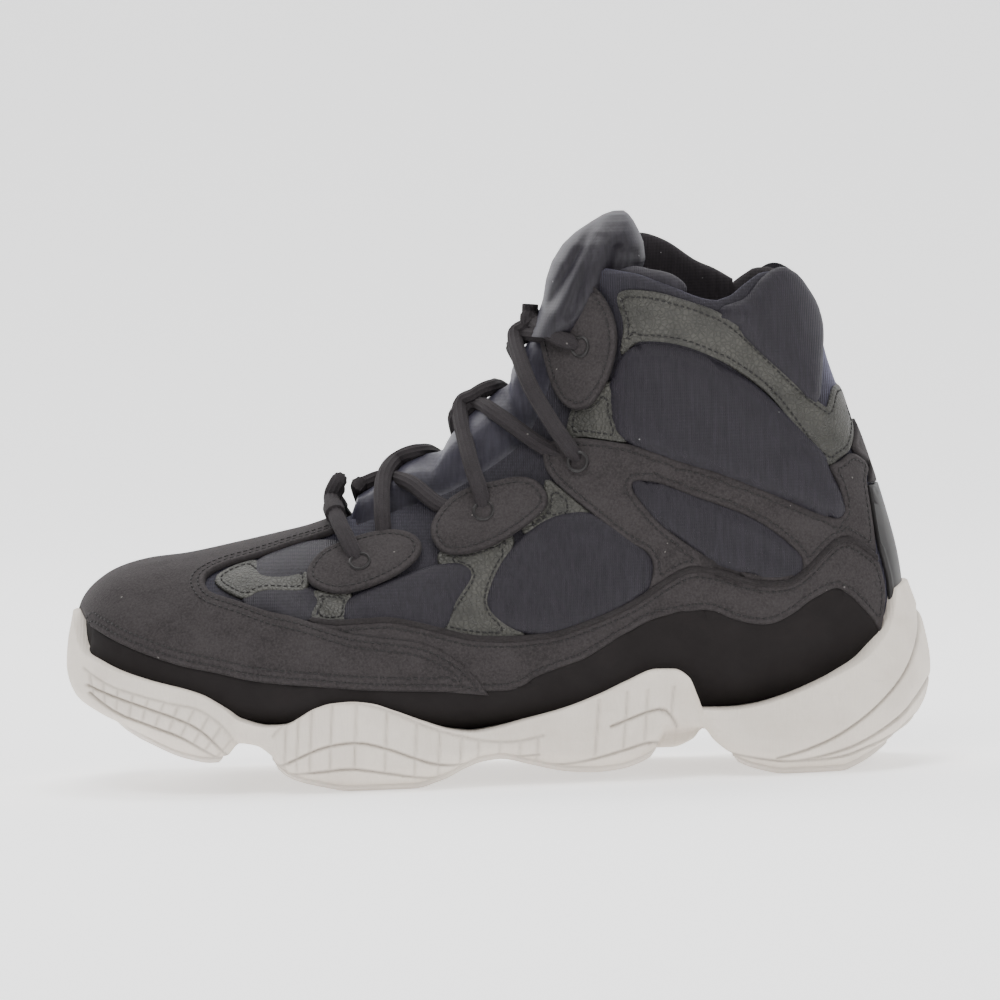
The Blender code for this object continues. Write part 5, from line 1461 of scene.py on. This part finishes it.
inner_collar = build_inner_collar()
near_line = [(0.132, 0.858), (0.150, 0.866), (0.172, 0.868), (0.194, 0.865), (0.210, 0.855),
             (0.224, 0.832)]
collar_fold = tube("collar_fold", side_path(near_line, -1, -6.0 * MM), 3.6 * MM, NYLON, 20,
                   taper=4 * MM)
place_piece(collar_fold, "nylon")
print("inner collar:", len(inner_collar.data.polygons), "faces")

# %% [markdown]
# ## The cup sole
# The sole is one foam moulding with three groups of pods, a waved rim and smooth necks
# between the pods. Its plan is a closed curve, and its side is a stack of rings that
# bulge, turn under and lean in. Grooves are pressed into the side along lines that were
# read off the photograph. A Boolean with the last then hollows it, as a foot would.

# %% Sizes of the sole
RIM_WALL = 2.6 * MM
TREAD_DEPTH = 2.4 * MM
TURN_UNDER = 6.2 * MM
END_TURN_UNDER = 13.0 * MM
TOE_LEAN = 0.8 * MM
HEEL_LEAN = 4.5 * MM
RIM_ROOT = 5.0 * MM
TOE_BUMPER = 8.0 * MM
TOE_BUMPER_HALF = 18.0 * MM
SOLE_STATIONS = 560
SOLE_LEVELS = 70
SOLE_PLAN = (
    (-0.4915, 0.0, 0.0), (-0.486, 0.26, 0.42), (-0.473, 0.47, 0.64), (-0.452, 0.65, 0.79),
    (-0.420, 0.79, 0.92), (-0.370, 0.91, 0.99), (-0.310, 0.99, 1.05), (-0.240, 1.04, 1.07),
    (-0.170, 1.04, 1.04), (-0.100, 1.01, 0.97), (-0.020, 0.96, 0.89), (0.060, 0.90, 0.83),
    (0.150, 0.86, 0.80), (0.240, 0.83, 0.80), (0.320, 0.81, 0.80), (0.380, 0.76, 0.75),
    (0.428, 0.64, 0.64), (0.460, 0.47, 0.47), (0.482, 0.26, 0.26), (0.4915, 0.0, 0.0))
TOE_GROUND = ((-0.500, 0.190), (-0.466, 0.150), (-0.429, 0.112), (-0.401, 0.090), (-0.359, 0.063),
              (-0.330, 0.055), (-0.312, 0.057), (-0.296, 0.078), (-0.278, 0.074), (-0.262, 0.058),
              (-0.250, 0.036), (-0.236, 0.022), (-0.203, 0.008), (-0.173, 0.0), (-0.100, 0.0),
              (-0.066, 0.013))
HEEL_GROUND = ((0.325, 0.0), (0.389, 0.0), (0.410, 0.009), (0.430, 0.022), (0.452, 0.038),
               (0.474, 0.066), (0.500, 0.120))
GROUND_LINE = TOE_GROUND + (
    (-0.042, 0.030), (-0.020, 0.042), (0.0, 0.045), (0.030, 0.034), (0.075, 0.018), (0.109, 0.015),
    (0.138, 0.019), (0.161, 0.030), (0.178, 0.047), (0.190, 0.075), (0.230, 0.077), (0.244, 0.052),
    (0.262, 0.030), (0.289, 0.011)) + HEEL_GROUND
MEDIAL_GROUND_LINE = TOE_GROUND + (
    (-0.030, 0.040), (0.000, 0.048), (0.040, 0.038), (0.080, 0.020), (0.120, 0.008), (0.200, 0.006),
    (0.226, 0.020), (0.240, 0.048), (0.254, 0.062), (0.266, 0.048), (0.289, 0.014)) + HEEL_GROUND
POD_BULGE = ((-0.500, 0.8), (-0.400, 1.3), (-0.330, 1.2), (-0.285, -0.6), (-0.235, 1.0),
             (-0.170, 1.5), (-0.090, 1.3), (-0.030, 0.6), (0.060, 1.1), (0.150, 1.5),
             (0.195, 0.7), (0.225, -0.9), (0.265, 0.6), (0.330, 1.6), (0.420, 1.8), (0.500, 1.0))
SIDE_PROFILE = ((0.0, 0.0, 1.0, 0.0), (0.10, 0.35, 0.42, 0.0), (0.28, 0.85, 0.10, 0.0),
                (0.48, 1.0, 0.0, 0.05), (0.70, 0.75, 0.0, 0.30), (0.88, 0.30, 0.0, 0.70),
                (1.0, 0.0, 0.0, 1.0))


def smooth_share(table, key, column=1):
    """Value of a table at a key, on a smooth curve that never overshoots its rows."""
    xs = np.array([row[0] for row in table])
    ys = np.array([row[column] for row in table])
    steps, slopes = np.diff(xs), np.diff(ys) / np.diff(xs)
    product, total = slopes[:-1] * slopes[1:], slopes[:-1] + slopes[1:]
    middle = np.where(product <= 0, 0, 2 * slopes[:-1] * slopes[1:] / np.where(total == 0, 1, total))
    tangents = np.concatenate([[slopes[0]], middle, [slopes[-1]]])
    key = np.clip(key, xs[0], xs[-1])
    k = np.clip(np.searchsorted(xs, key) - 1, 0, len(steps) - 1)
    t = (key - xs[k]) / steps[k]
    return ((2 * t**3 - 3 * t**2 + 1) * ys[k] + (t**3 - 2 * t**2 + t) * steps[k] * tangents[k]
            + (-2 * t**3 + 3 * t**2) * ys[k + 1] + (t**3 - t**2) * steps[k] * tangents[k + 1])


def sole_outline():
    """Plan outline: points and outward directions from the toe along the lateral side."""
    even = np.linspace(0, 1, SOLE_STATIONS + 1)
    mixed = 0.55 * (0.5 - 0.5 * np.cos(math.pi * even)) + 0.45 * even
    start, end = SOLE_PLAN[0][0], SOLE_PLAN[-1][0]
    knots = start + (end - start) * mixed
    here = np.arccos(np.clip(1 - 2 * (knots - start) / (end - start), -1, 1))
    halves = []
    for column in (1, 2):
        turned = [(math.acos(np.clip(1 - 2 * (row[0] - start) / (end - start), -1, 1)), row[column])
                  for row in SOLE_PLAN]
        halves.append(smooth_share(turned, here) * BALL_HALF_WIDTH)
    lateral = np.column_stack([knots * SHOE_LENGTH, -halves[0]])
    medial = np.column_stack([knots * SHOE_LENGTH, halves[1]])[-2:0:-1]
    points = np.concatenate([lateral, medial])
    along = np.roll(points, -1, axis=0) - np.roll(points, 1, axis=0)
    along /= np.linalg.norm(along, axis=1, keepdims=True)
    return points, np.stack([along[:, 1], -along[:, 0]], axis=1)


def rim_height(x, y):
    """Height of the sole's rim, raised in a rounded bumper at the toe."""
    height = smooth_share(RIM_LINE, x / SHOE_LENGTH) * SHOE_HEIGHT
    bumper = eased(np.clip(1.25 - np.abs(y - 0.1 * BALL_HALF_WIDTH) / TOE_BUMPER_HALF, 0, 1))
    return height + bumper * TOE_BUMPER * np.clip((-0.44 - x / SHOE_LENGTH) / 0.03, 0, 1)


def ground_height(x, y):
    """Height of the tread's underside, with its pods, arch gap and toe spring."""
    lateral = smooth_share(GROUND_LINE, x / SHOE_LENGTH)
    medial = smooth_share(MEDIAL_GROUND_LINE, x / SHOE_LENGTH)
    part = np.clip(0.5 + y / (12 * MM), 0, 1)
    return (lateral * (1 - part) + medial * part) * SHOE_HEIGHT


# %% Grooves of the sole's side
# Each line was read off the photograph, in its pixels.
TOE_BLOCK_TOP = ((90, 668), (116, 681), (136, 687), (175, 696), (203, 701), (219, 709), (234, 722),
                 (244, 737))
TOE_BLOCK_MIDDLE = ((94, 683), (122, 692), (159, 703), (184, 711), (203, 719), (219, 731),
                    (234, 748))
TOE_BLOCK_FOOT = ((96, 690), (124, 707), (156, 718), (188, 729), (211, 742), (229, 755))
FOREFOOT_TOP = ((280, 727), (300, 708), (330, 697), (362, 695), (395, 703), (425, 716), (455, 726),
                (490, 733), (520, 733), (545, 728))
FOREFOOT_ARC = ((286, 758), (310, 746), (333, 737), (363, 733), (392, 739), (418, 748), (442, 755),
                (477, 757), (510, 752), (541, 747))
FOREFOOT_FOOT = ((296, 767), (329, 762), (357, 759), (388, 763), (418, 768), (448, 772))
MIDDLE_FOOT = ((541, 759), (568, 758), (598, 751), (628, 742), (648, 736), (660, 738))
MIDDLE_ARC = ((612, 719), (630, 712), (648, 705), (663, 703), (672, 711), (677, 722))
HEEL_GROOVE = ((921, 611), (920, 635), (905, 671), (873, 704), (838, 728), (808, 742), (776, 752))
HEEL_GROOVE_LOW = ((931, 681), (917, 698), (897, 716), (858, 738), (822, 750), (798, 755))
HEEL_FOOT = ((713, 745), (739, 750), (778, 755), (804, 755), (838, 752), (867, 743), (897, 732),
             (917, 718))
STRONG_GROOVES = (TOE_BLOCK_MIDDLE, TOE_BLOCK_FOOT, FOREFOOT_ARC, FOREFOOT_FOOT, MIDDLE_FOOT,
                  MIDDLE_ARC, HEEL_GROOVE, HEEL_GROOVE_LOW, HEEL_FOOT)
FOREFOOT_TICKS = (292, 304, 317, 337, 361, 391, 420, 443, 464, 481, 502, 522, 539)
MIDDLE_TICKS = ((600, 694, 596, 748), (628, 686, 624, 740), (648, 684, 645, 732), (674, 681, 671, 708))
TOE_TICKS = 11
GROOVE_WIDTH = 0.55 * MM
GROOVE_DEPTH = 1.2 * MM
FAINT_SHARE = 0.55


def line_at(line, x):
    """Height in pixels of a read line at a pixel column."""
    return float(np.interp(x, [point[0] for point in line], [point[1] for point in line]))


def groove_lines():
    """All grooves as side-view lines in metres, with a depth each."""
    faint = [TOE_BLOCK_TOP, FOREFOOT_TOP]
    top, foot = smooth_line(TOE_BLOCK_TOP, 1.0), smooth_line(TOE_BLOCK_FOOT, 1.0)
    for k in range(TOE_TICKS):
        part = (k + 0.5) / TOE_TICKS
        faint.append([line[int(part * (len(line) - 1))] for line in (top, foot)])
    for x in FOREFOOT_TICKS:
        faint.append(((x + 1, line_at(FOREFOOT_TOP, x)), (x - 1, line_at(FOREFOOT_FOOT + MIDDLE_FOOT, x))))
    faint += [((x0, y0), (x1, y1)) for x0, y0, x1, y1 in MIDDLE_TICKS]
    lines = [(line, GROOVE_DEPTH) for line in STRONG_GROOVES]
    lines += [(line, FAINT_SHARE * GROOVE_DEPTH) for line in faint]
    return [(smooth_line(pixels_to_side(line) * MM, 2.5 * MM), depth) for line, depth in lines]


def groove_depth(x, z):
    """Depth pressed into the sole's side at side-view places."""
    depth = np.zeros(len(x))
    for line, deep in groove_lines():
        low, high = line.min(axis=0) - 2 * MM, line.max(axis=0) + 2 * MM
        near = np.nonzero((x > low[0]) & (x < high[0]) & (z > low[1]) & (z < high[1]))[0]
        if not len(near):
            continue
        flat = np.column_stack([x[near], z[near]])
        best = np.full(len(near), 1.0)
        for start, end in zip(line[:-1], line[1:]):
            run = end - start
            where = np.clip(((flat - start) @ run) / (run @ run), 0, 1)
            best = np.minimum(best, np.linalg.norm(flat - start - where[:, None] * run, axis=1))
        depth[near] = np.maximum(depth[near], deep * np.exp(-(best / GROOVE_WIDTH) ** 2))
    return depth


# %% Body of the sole
def sole_rings():
    """Dense rings of the sole's side, from the tread to the rim and its root."""
    points, outward = sole_outline()
    x_share = points[:, 0] / SHOE_LENGTH
    toe = np.clip((-0.42 - x_share) / 0.07, 0, 1)
    heel = np.clip((x_share - 0.40) / 0.08, 0, 1)
    turn = TURN_UNDER + (END_TURN_UNDER - TURN_UNDER) * np.maximum(toe, heel)
    lean = TOE_LEAN * toe**2 + HEEL_LEAN * heel**2
    bulge = smooth_share(POD_BULGE, x_share) * RIM_WALL
    tread = points - outward * turn[:, None]
    low = ground_height(tread[:, 0], tread[:, 1]) + TREAD_DEPTH
    high = rim_height(points[:, 0], points[:, 1])
    rings, marks = [], []
    for level in np.linspace(0, 1, SOLE_LEVELS + 1):
        out, under, inward = (smooth_share(SIDE_PROFILE, level, column) for column in (1, 2, 3))
        plan = points + outward * (bulge * out - turn * under - lean * inward)[:, None]
        height = low + (high - low) * level
        pressed = groove_depth(plan[:, 0], height)
        plan = plan - outward * pressed[:, None]
        marks.append(pressed / GROOVE_DEPTH)
        rings.append(np.column_stack([plan, height]))
    rim_edge = points - outward * (lean + 0.5 * MM)[:, None]
    rings.append(np.column_stack([rim_edge, high + 0.35 * MM]))
    inner = points - outward * (lean + RIM_WALL + RIM_ROOT)[:, None]
    rings.append(np.column_stack([inner, high + 0.3 * MM]))
    marks += [np.zeros(len(points))] * 2
    return rings, marks


def last_body():
    """Filled last with a small clearance, to hollow the sole."""
    rows = np.linspace(0, 20, 81)
    angles = np.linspace(0, 2 * math.pi, 72, endpoint=False)
    grid, turned = np.meshgrid(rows, angles, indexing="ij")
    points = last_point(grid, turned, -0.3 * MM).reshape(-1, 3)
    count = len(angles)
    caps = [tuple(range(count)), tuple(range(len(points) - count, len(points)))]
    return add_object("last", points, caps + loft_faces(len(rows), count), FOAM)


def build_sole():
    """Dense cup sole, hollowed by the last."""
    rings, marks = sole_rings()
    count = len(rings[0])
    faces = loft_faces(len(rings), count)
    for start in (0, (len(rings) - 1) * count):
        for k in range(SOLE_STATIONS):
            near = (start + k, start + k + 1)
            far = (start + (count - k) % count, start + (count - k - 1) % count)
            for corners in ((near[0], near[1], far[1]), (near[0], far[1], far[0])):
                if len(set(corners)) == 3:
                    faces.append(corners)
    item = add_object("cup_sole", np.concatenate(rings), faces, FOAM, 45)
    # Depth share of the grooves, stored for the painted shade in them.
    store_attribute(item, "groove_shade", np.concatenate(marks))
    cutter = last_body()
    turn_faces_out(item)
    turn_faces_out(cutter)
    cut = item.modifiers.new("hollow", "BOOLEAN")
    cut.operation = "DIFFERENCE"
    cut.object = cutter
    cut.solver = "EXACT"
    make_plain(item)
    bpy.data.objects.remove(cutter)
    smooth_again(item, 45)
    return place_piece(item, "foam", "midsole")


cup_sole = build_sole()
print("sole:", len(cup_sole.data.polygons), "faces")

# %% [markdown]
# ## Tread pads
# Under the pods lie three rubber pads. Each is a strip between the two sides of the
# sole's lowest ring, with a rounded lower edge. The photograph doesn't show the pattern of
# the real tread, so the pads stay smooth.

# %% Tread pads
OUTSOLE_PADS = {"outsole_toe": (-0.47, -0.31), "outsole_forefoot": (-0.262, 0.185),
                "outsole_heel": (0.262, 0.5)}
PAD_COLUMNS = 24
PAD_EVERY = 3
PAD_ROW_STEP = 1.6 * MM
PAD_ROUNDING = 2.2 * MM
PAD_OVERLAP = 0.4 * MM


def build_pad(name, first, final):
    """Closed rubber pad under one group of pods, with a rounded lower edge."""
    ring = sole_rings()[0][0]
    count = len(ring)
    chosen = [k for k in range(SOLE_STATIONS + 1)
              if first <= ring[k, 0] / SHOE_LENGTH <= final][1:-1:PAD_EVERY]
    near = np.array([ring[k] for k in chosen])
    far = np.array([ring[(count - k) % count] for k in chosen])
    across = np.linspace(0, 1, PAD_COLUMNS + 1)[None, :, None]
    grid = near[:, None] * (1 - across) + far[:, None] * across
    rows = len(chosen)
    end = np.minimum(np.arange(rows), np.arange(rows)[::-1])[:, None] * PAD_ROW_STEP
    width = np.linalg.norm(far - near, axis=1)[:, None]
    side = np.minimum(across[0, :, 0], 1 - across[0, :, 0])[None, :] * width
    edge = np.clip(np.minimum(end, side) / PAD_ROUNDING, 0, 1)
    depth = TREAD_DEPTH * (0.35 + 0.65 * np.sqrt(1 - (1 - edge) ** 2))
    ground = ground_height(grid[..., 0], grid[..., 1])
    under = grid.copy()
    under[..., 2] = np.maximum(ground, grid[..., 2] - depth)
    vertices = np.concatenate([grid.reshape(-1, 3) + [0, 0, PAD_OVERLAP], under.reshape(-1, 3)])
    item = add_object(name + "_pad", vertices, slab_faces(rows, PAD_COLUMNS + 1), TREAD)
    turn_faces_out(item)
    return place_piece(item, "tread", name)


pads = [build_pad(name, *ends) for name, ends in OUTSOLE_PADS.items()]
print("pads:", ", ".join(pad.name for pad in pads))

# %% [markdown]
# ## The laces
# One round cord zigzags over the tongue. At every eyelet it comes up through the rim,
# rises over the tab, crosses the tongue and dives into the eyelet on the other side. The
# path of each crossing is a list of read places with a lift above the last, and the tube
# along it has low lengthwise ribs, as a braided cord does.

# %% Lace through the eyelets
LACE_RADIUS = 2.75 * MM
LACE_RIBS = 11
EYELETS = ((366, 565), (488, 514), (581, 463), (587, 350))
LACE_STEP = 0.8 * MM
CORD = napped("lace cord", (0.018, 0.0155, 0.0165), (0.036, 0.032, 0.034), 2600.0, 0.10 * MM, 0.04)
# Each place: picture x and y, lift in millimetres, and 1 where it is on the medial side
LACE_RUNS = {
    "toe": ((366, 565, -2.5, 0), (357, 552, 4.5, 0), (346, 532, 6.0, 0), (340, 508, 9.0, 0),
            (346, 481, 13.0, 0), (340, 508, 9.0, 1), (346, 532, 6.0, 1), (357, 552, 4.5, 1),
            (366, 565, -2.5, 1)),
    "from_2": ((376, 552, -2.5, 0), (387, 538, -0.5, 0), (391, 522, 5.6, 0), (398, 500, 8.0, 0),
               (408, 476, 8.6, 0), (424, 457, 6.6, 0), (448, 478, 7.4, 1), (462, 497, 4.0, 1),
               (488, 514, -2.5, 1)),
    "from_3": ((488, 514, -2.5, 0), (486, 496, 5.2, 0), (480, 471, 6.6, 0), (479, 430, 9.4, 0),
               (484, 400, 8.8, 0), (494, 387, 6.6, 0), (520, 406, 7.4, 1), (548, 434, 4.0, 1),
               (581, 463, -2.5, 1)),
    "from_4": ((581, 463, -2.5, 0), (572, 446, 5.2, 0), (560, 426, 6.6, 0), (545, 391, 8.6, 0),
               (536, 352, 8.8, 0), (533, 327, 7.4, 0), (545, 320, 8.2, 1), (562, 336, 4.6, 1),
               (587, 350, -2.5, 1)),
    "to_3": ((366, 565, -2.5, 1), (372, 540, 5.0, 1), (372, 510, 7.5, 1), (370, 489, 7.4, 0),
             (391, 484, 5.6, 0), (420, 495, 4.2, 0), (446, 508, 0.6, 0), (488, 514, -2.8, 0)),
    "to_4": ((488, 514, -2.5, 1), (476, 480, 5.0, 1), (466, 430, 7.5, 1), (464, 410, 7.4, 0),
             (484, 408, 6.0, 0), (508, 424, 4.4, 0), (546, 448, 0.6, 0), (581, 463, -2.8, 0)),
    "to_5": ((581, 463, -2.5, 1), (560, 420, 5.0, 1), (536, 370, 7.0, 1), (522, 345, 7.4, 0),
             (534, 341, 6.0, 0), (552, 344, 2.2, 0), (587, 350, -2.8, 0)),
    "top": ((587, 350, -2.5, 0), (572, 344, 5.0, 0), (549, 332, 6.2, 0), (534, 312, 8.0, 0),
            (531, 296, 9.4, 0), (534, 312, 8.0, 1), (549, 332, 6.2, 1), (572, 344, 5.0, 1),
            (587, 350, -2.5, 1)),
}


def picture_places(pixels):
    """Rows and angles on the near side for places read in the picture."""
    return locate(pixels_to_side(pixels) * MM / SIDE_SIZE)


def lace_path(run):
    """Smooth points of one crossing through its read places."""
    x, y, lift, medial = np.array(run).T
    places = picture_places(np.column_stack([x, y]))
    angles = np.where(medial, 2 * math.pi - places[:, 1], places[:, 1])
    return smooth_line(last_point(places[:, 0], angles, lift * MM), LACE_STEP)


def build_lace():
    """All crossings of the lace, joined as one piece."""
    return join_parts("lace_cord", [
        tube("lace_" + name, lace_path(run), LACE_RADIUS, CORD, 2 * LACE_RIBS, LACE_RIBS, 0.055, 1.0 * MM)
        for name, run in LACE_RUNS.items()])


def join_parts(name, parts):
    """One object out of several, with their faces and materials kept."""
    model = bmesh.new()
    materials = []
    for part in parts:
        start = len(model.faces)
        model.from_mesh(part.data)
        model.faces.ensure_lookup_table()
        if part.data.materials[0] not in materials:
            materials.append(part.data.materials[0])
        number = materials.index(part.data.materials[0])
        for face in model.faces[start:]:
            face.material_index = number
    mesh = bpy.data.meshes.new(name)
    model.to_mesh(mesh)
    model.free()
    for material in materials:
        mesh.materials.append(material)
    for part in parts:
        bpy.data.objects.remove(part)
    item = bpy.data.objects.new(name, mesh)
    bpy.context.scene.collection.objects.link(item)
    smooth_again(item, 50)
    return item


lace_cord = place_piece(build_lace(), "cord", "lace")
print("lace:", len(lace_cord.data.polygons), "faces")


# %% Eyelet rims and the loop at the toe
EYELET_LIFT = 3.3 * MM
EYELET_HOLE = 2.9 * MM
EYELET_RIM = 3.9 * MM
RING_SIDES = 28


def ring(name, centre, axis, inner, outer, height, material):
    """Flat rounded ring about an axis."""
    axis = np.asarray(axis) / np.linalg.norm(axis)
    first = np.cross(axis, [0.2, 0.3, 0.9])
    first /= np.linalg.norm(first)
    second = np.cross(axis, first)
    section = [(inner, -height), (inner, 0.4 * height), ((inner + outer) / 2, height),
               (outer, 0.3 * height), (outer, -height)]
    vertices = []
    for turn in np.linspace(0, 2 * math.pi, RING_SIDES, endpoint=False):
        away = first * math.cos(turn) + second * math.sin(turn)
        vertices += [centre + away * radius + axis * rise for radius, rise in section]
    count = len(section)
    faces = []
    for k in range(RING_SIDES):
        following = (k + 1) % RING_SIDES
        for j in range(count):
            other = (j + 1) % count
            faces.append((k * count + j, following * count + j, following * count + other,
                          k * count + other))
    item = add_object(name, vertices, faces, material, 60)
    turn_faces_out(item)
    return item


def build_eyelets():
    """Rubber rims round the eight places where the lace goes in."""
    parts = []
    for pixel in EYELETS:
        row, angle = picture_places([pixel])[0]
        for turned in (on_side(angle, side) for side in BOTH):
            centre = last_point(row, turned, EYELET_LIFT)
            axis = last_normal(row, turned)
            parts.append(ring("rim", centre, axis, EYELET_HOLE, EYELET_RIM, 0.5 * MM, RUBBER))
    return place_piece(join_parts("eyelet_rims", parts), "rubber")


def build_loop():
    """Webbing sleeves that hold the lowest lace, and the strap between them."""
    path = lace_path(LACE_RUNS["toe"])
    parts = []
    for share_along in (0.31, 0.69):
        middle = int(share_along * len(path))
        parts.append(tube("sleeve", path[middle - 5:middle + 6], 3.7 * MM, CORD, 24, 12, 0.02, 0.8 * MM))
    strap = path[int(0.29 * len(path)):int(0.71 * len(path))] - [0, 0, 0.0034]
    parts.append(tube("strap", strap, 2.0 * MM, CORD, 16, 8, 0.03, 1.0 * MM))
    return place_piece(join_parts("lace_loop", parts), "webbing", "toe_loop")


eyelet_rims = build_eyelets()
lace_loop = build_loop()
print("eyelet rims:", len(eyelet_rims.data.polygons), "faces, loop:", len(lace_loop.data.polygons))

# %% [markdown]
# ## Stitches
# The suede and leather panels are sewn a little inside their edges. Every panel stores the
# distance to its edge, so the guide is the line over its skin where that distance is the
# seam's. Geometry Nodes sets one short stitch at every pitch along it. The toe cap has a
# second seam.

# %% Stitch tree
STITCH_PITCH = 2.3 * MM
STITCH_LENGTH = 1.4 * MM
STITCH_RADIUS = 0.28 * MM
STITCH_SIDES = 6
STITCH_LIFT = 0.10 * MM
SECOND_SEAM_INSET = 4.6
SHORTEST_LINE = 30


def set_input(modifier, word, value):
    """Set a named input of a Geometry Nodes modifier by its identifier."""
    for socket in modifier.node_group.interface.items_tree:
        if socket.item_type == "SOCKET" and socket.in_out == "INPUT" and socket.name == word:
            modifier[socket.identifier] = value


def build_stitch_tree():
    """Short round stitches at an even pitch along the lines of a guide."""
    tree = bpy.data.node_groups.new("stitches", "GeometryNodeTree")
    tree.interface.new_socket("Guide", in_out="INPUT", socket_type="NodeSocketGeometry")
    for word in ("Pitch", "Length", "Radius"):
        tree.interface.new_socket(word, in_out="INPUT", socket_type="NodeSocketFloat")
    tree.interface.new_socket("Thread", in_out="INPUT", socket_type="NodeSocketMaterial")
    tree.interface.new_socket("Stitches", in_out="OUTPUT", socket_type="NodeSocketGeometry")
    start = tree.nodes.new("NodeGroupInput").outputs
    end = tree.nodes.new("NodeGroupOutput").inputs
    curve = add_node(tree, "GeometryNodeMeshToCurve", {"Mesh": start["Guide"]})
    even = add_node(tree, "GeometryNodeResampleCurve", {"Curve": curve.outputs["Curve"],
                                                        "Length": start["Pitch"]}, mode="LENGTH")
    tangent = tree.nodes.new("GeometryNodeInputTangent").outputs["Tangent"]
    turn = add_node(tree, "FunctionNodeAlignRotationToVector", {"Vector": tangent}, axis="Z")
    stitch = add_node(tree, "GeometryNodeMeshCylinder", {"Vertices": STITCH_SIDES,
                                                         "Radius": start["Radius"],
                                                         "Depth": start["Length"]})
    place = add_node(tree, "GeometryNodeInstanceOnPoints", {"Points": even.outputs["Curve"],
                                                            "Instance": stitch.outputs["Mesh"],
                                                            "Rotation": turn.outputs["Rotation"]})
    real = add_node(tree, "GeometryNodeRealizeInstances", {"Geometry": place.outputs["Instances"]})
    colour = add_node(tree, "GeometryNodeSetMaterial", {"Geometry": real.outputs["Geometry"],
                                                        "Material": start["Thread"]})
    tree.links.new(colour.outputs["Geometry"], end["Stitches"])
    return tree


STITCH_TREE = build_stitch_tree()


# %% Stitches along the seams
def long_lines(places, pairs):
    """The same lines without those of few points."""
    near = {}
    for a, b in pairs:
        near.setdefault(a, []).append(b)
        near.setdefault(b, []).append(a)
    kept, seen = set(), set()
    for start in near:
        if start in seen:
            continue
        group, waiting = set(), [start]
        while waiting:
            place = waiting.pop()
            if place in group:
                continue
            group.add(place)
            waiting += near[place]
        seen |= group
        if len(group) >= SHORTEST_LINE:
            kept |= group
    order = {old: new for new, old in enumerate(sorted(kept))}
    return [places[k] for k in sorted(kept)], [(order[a], order[b]) for a, b in pairs if a in kept]


def seam_guide(item, depth):
    """Line over a panel's outer skin at a depth from its edge, as points and pairs."""
    mesh = item.data
    values = np.zeros(len(mesh.vertices), dtype=np.float32)
    mesh.attributes["edge"].data.foreach_get("value", values)
    values -= depth
    places, pairs, known = [], [], {}
    for face in mesh.polygons:
        corners = list(face.vertices)
        if len(corners) != 3:
            continue
        crossed = [(min(a, b), max(a, b)) for a, b in zip(corners, corners[1:] + corners[:1])
                   if values[a] * values[b] < 0]
        if len(crossed) != 2:
            continue
        middle = face.center
        inside = Vector((middle.x, 0, max(min(middle.z, 0.15), 0.05)))
        if face.normal.dot(middle - inside) <= 0:
            continue
        for a, b in crossed:
            if (a, b) not in known:
                known[a, b] = len(places)
                part = values[a] / (values[a] - values[b])
                first, second = mesh.vertices[a], mesh.vertices[b]
                normal = first.normal.lerp(second.normal, part)
                places.append(first.co.lerp(second.co, part) + normal * STITCH_LIFT)
        pairs.append(tuple(known[key] for key in crossed))
    return long_lines(places, pairs)


def build_stitches(name, items, depth):
    """Stitches of several panels as one plain mesh."""
    places, pairs = [], []
    for item in items:
        more_places, more_pairs = seam_guide(item, depth)
        pairs += [(a + len(places), b + len(places)) for a, b in more_pairs]
        places += more_places
    mesh = bpy.data.meshes.new(name)
    mesh.from_pydata(places, pairs, [])
    guide = bpy.data.objects.new(name, mesh)
    bpy.context.scene.collection.objects.link(guide)
    modifier = guide.modifiers.new("stitches", "NODES")
    modifier.node_group = STITCH_TREE
    for word, value in (("Pitch", STITCH_PITCH), ("Length", STITCH_LENGTH), ("Radius", STITCH_RADIUS),
                        ("Thread", THREAD)):
        set_input(modifier, word, value)
    make_plain(guide)
    guide.data.shade_smooth()
    return guide


panels = [item for item in bpy.data.objects
          if item.type == "MESH" and "edge" in item.data.attributes
          and not item.name.startswith(("window", "heel_strip", "band"))]
seams = place_piece(build_stitches("seam_stitches", panels, SEAM_INSET), "suede")
double_seams = place_piece(build_stitches("double_seams", [toe_cap], SECOND_SEAM_INSET), "suede")
print("stitches:", len(seams.data.polygons), "and", len(double_seams.data.polygons), "faces on",
      len(panels), "panels")
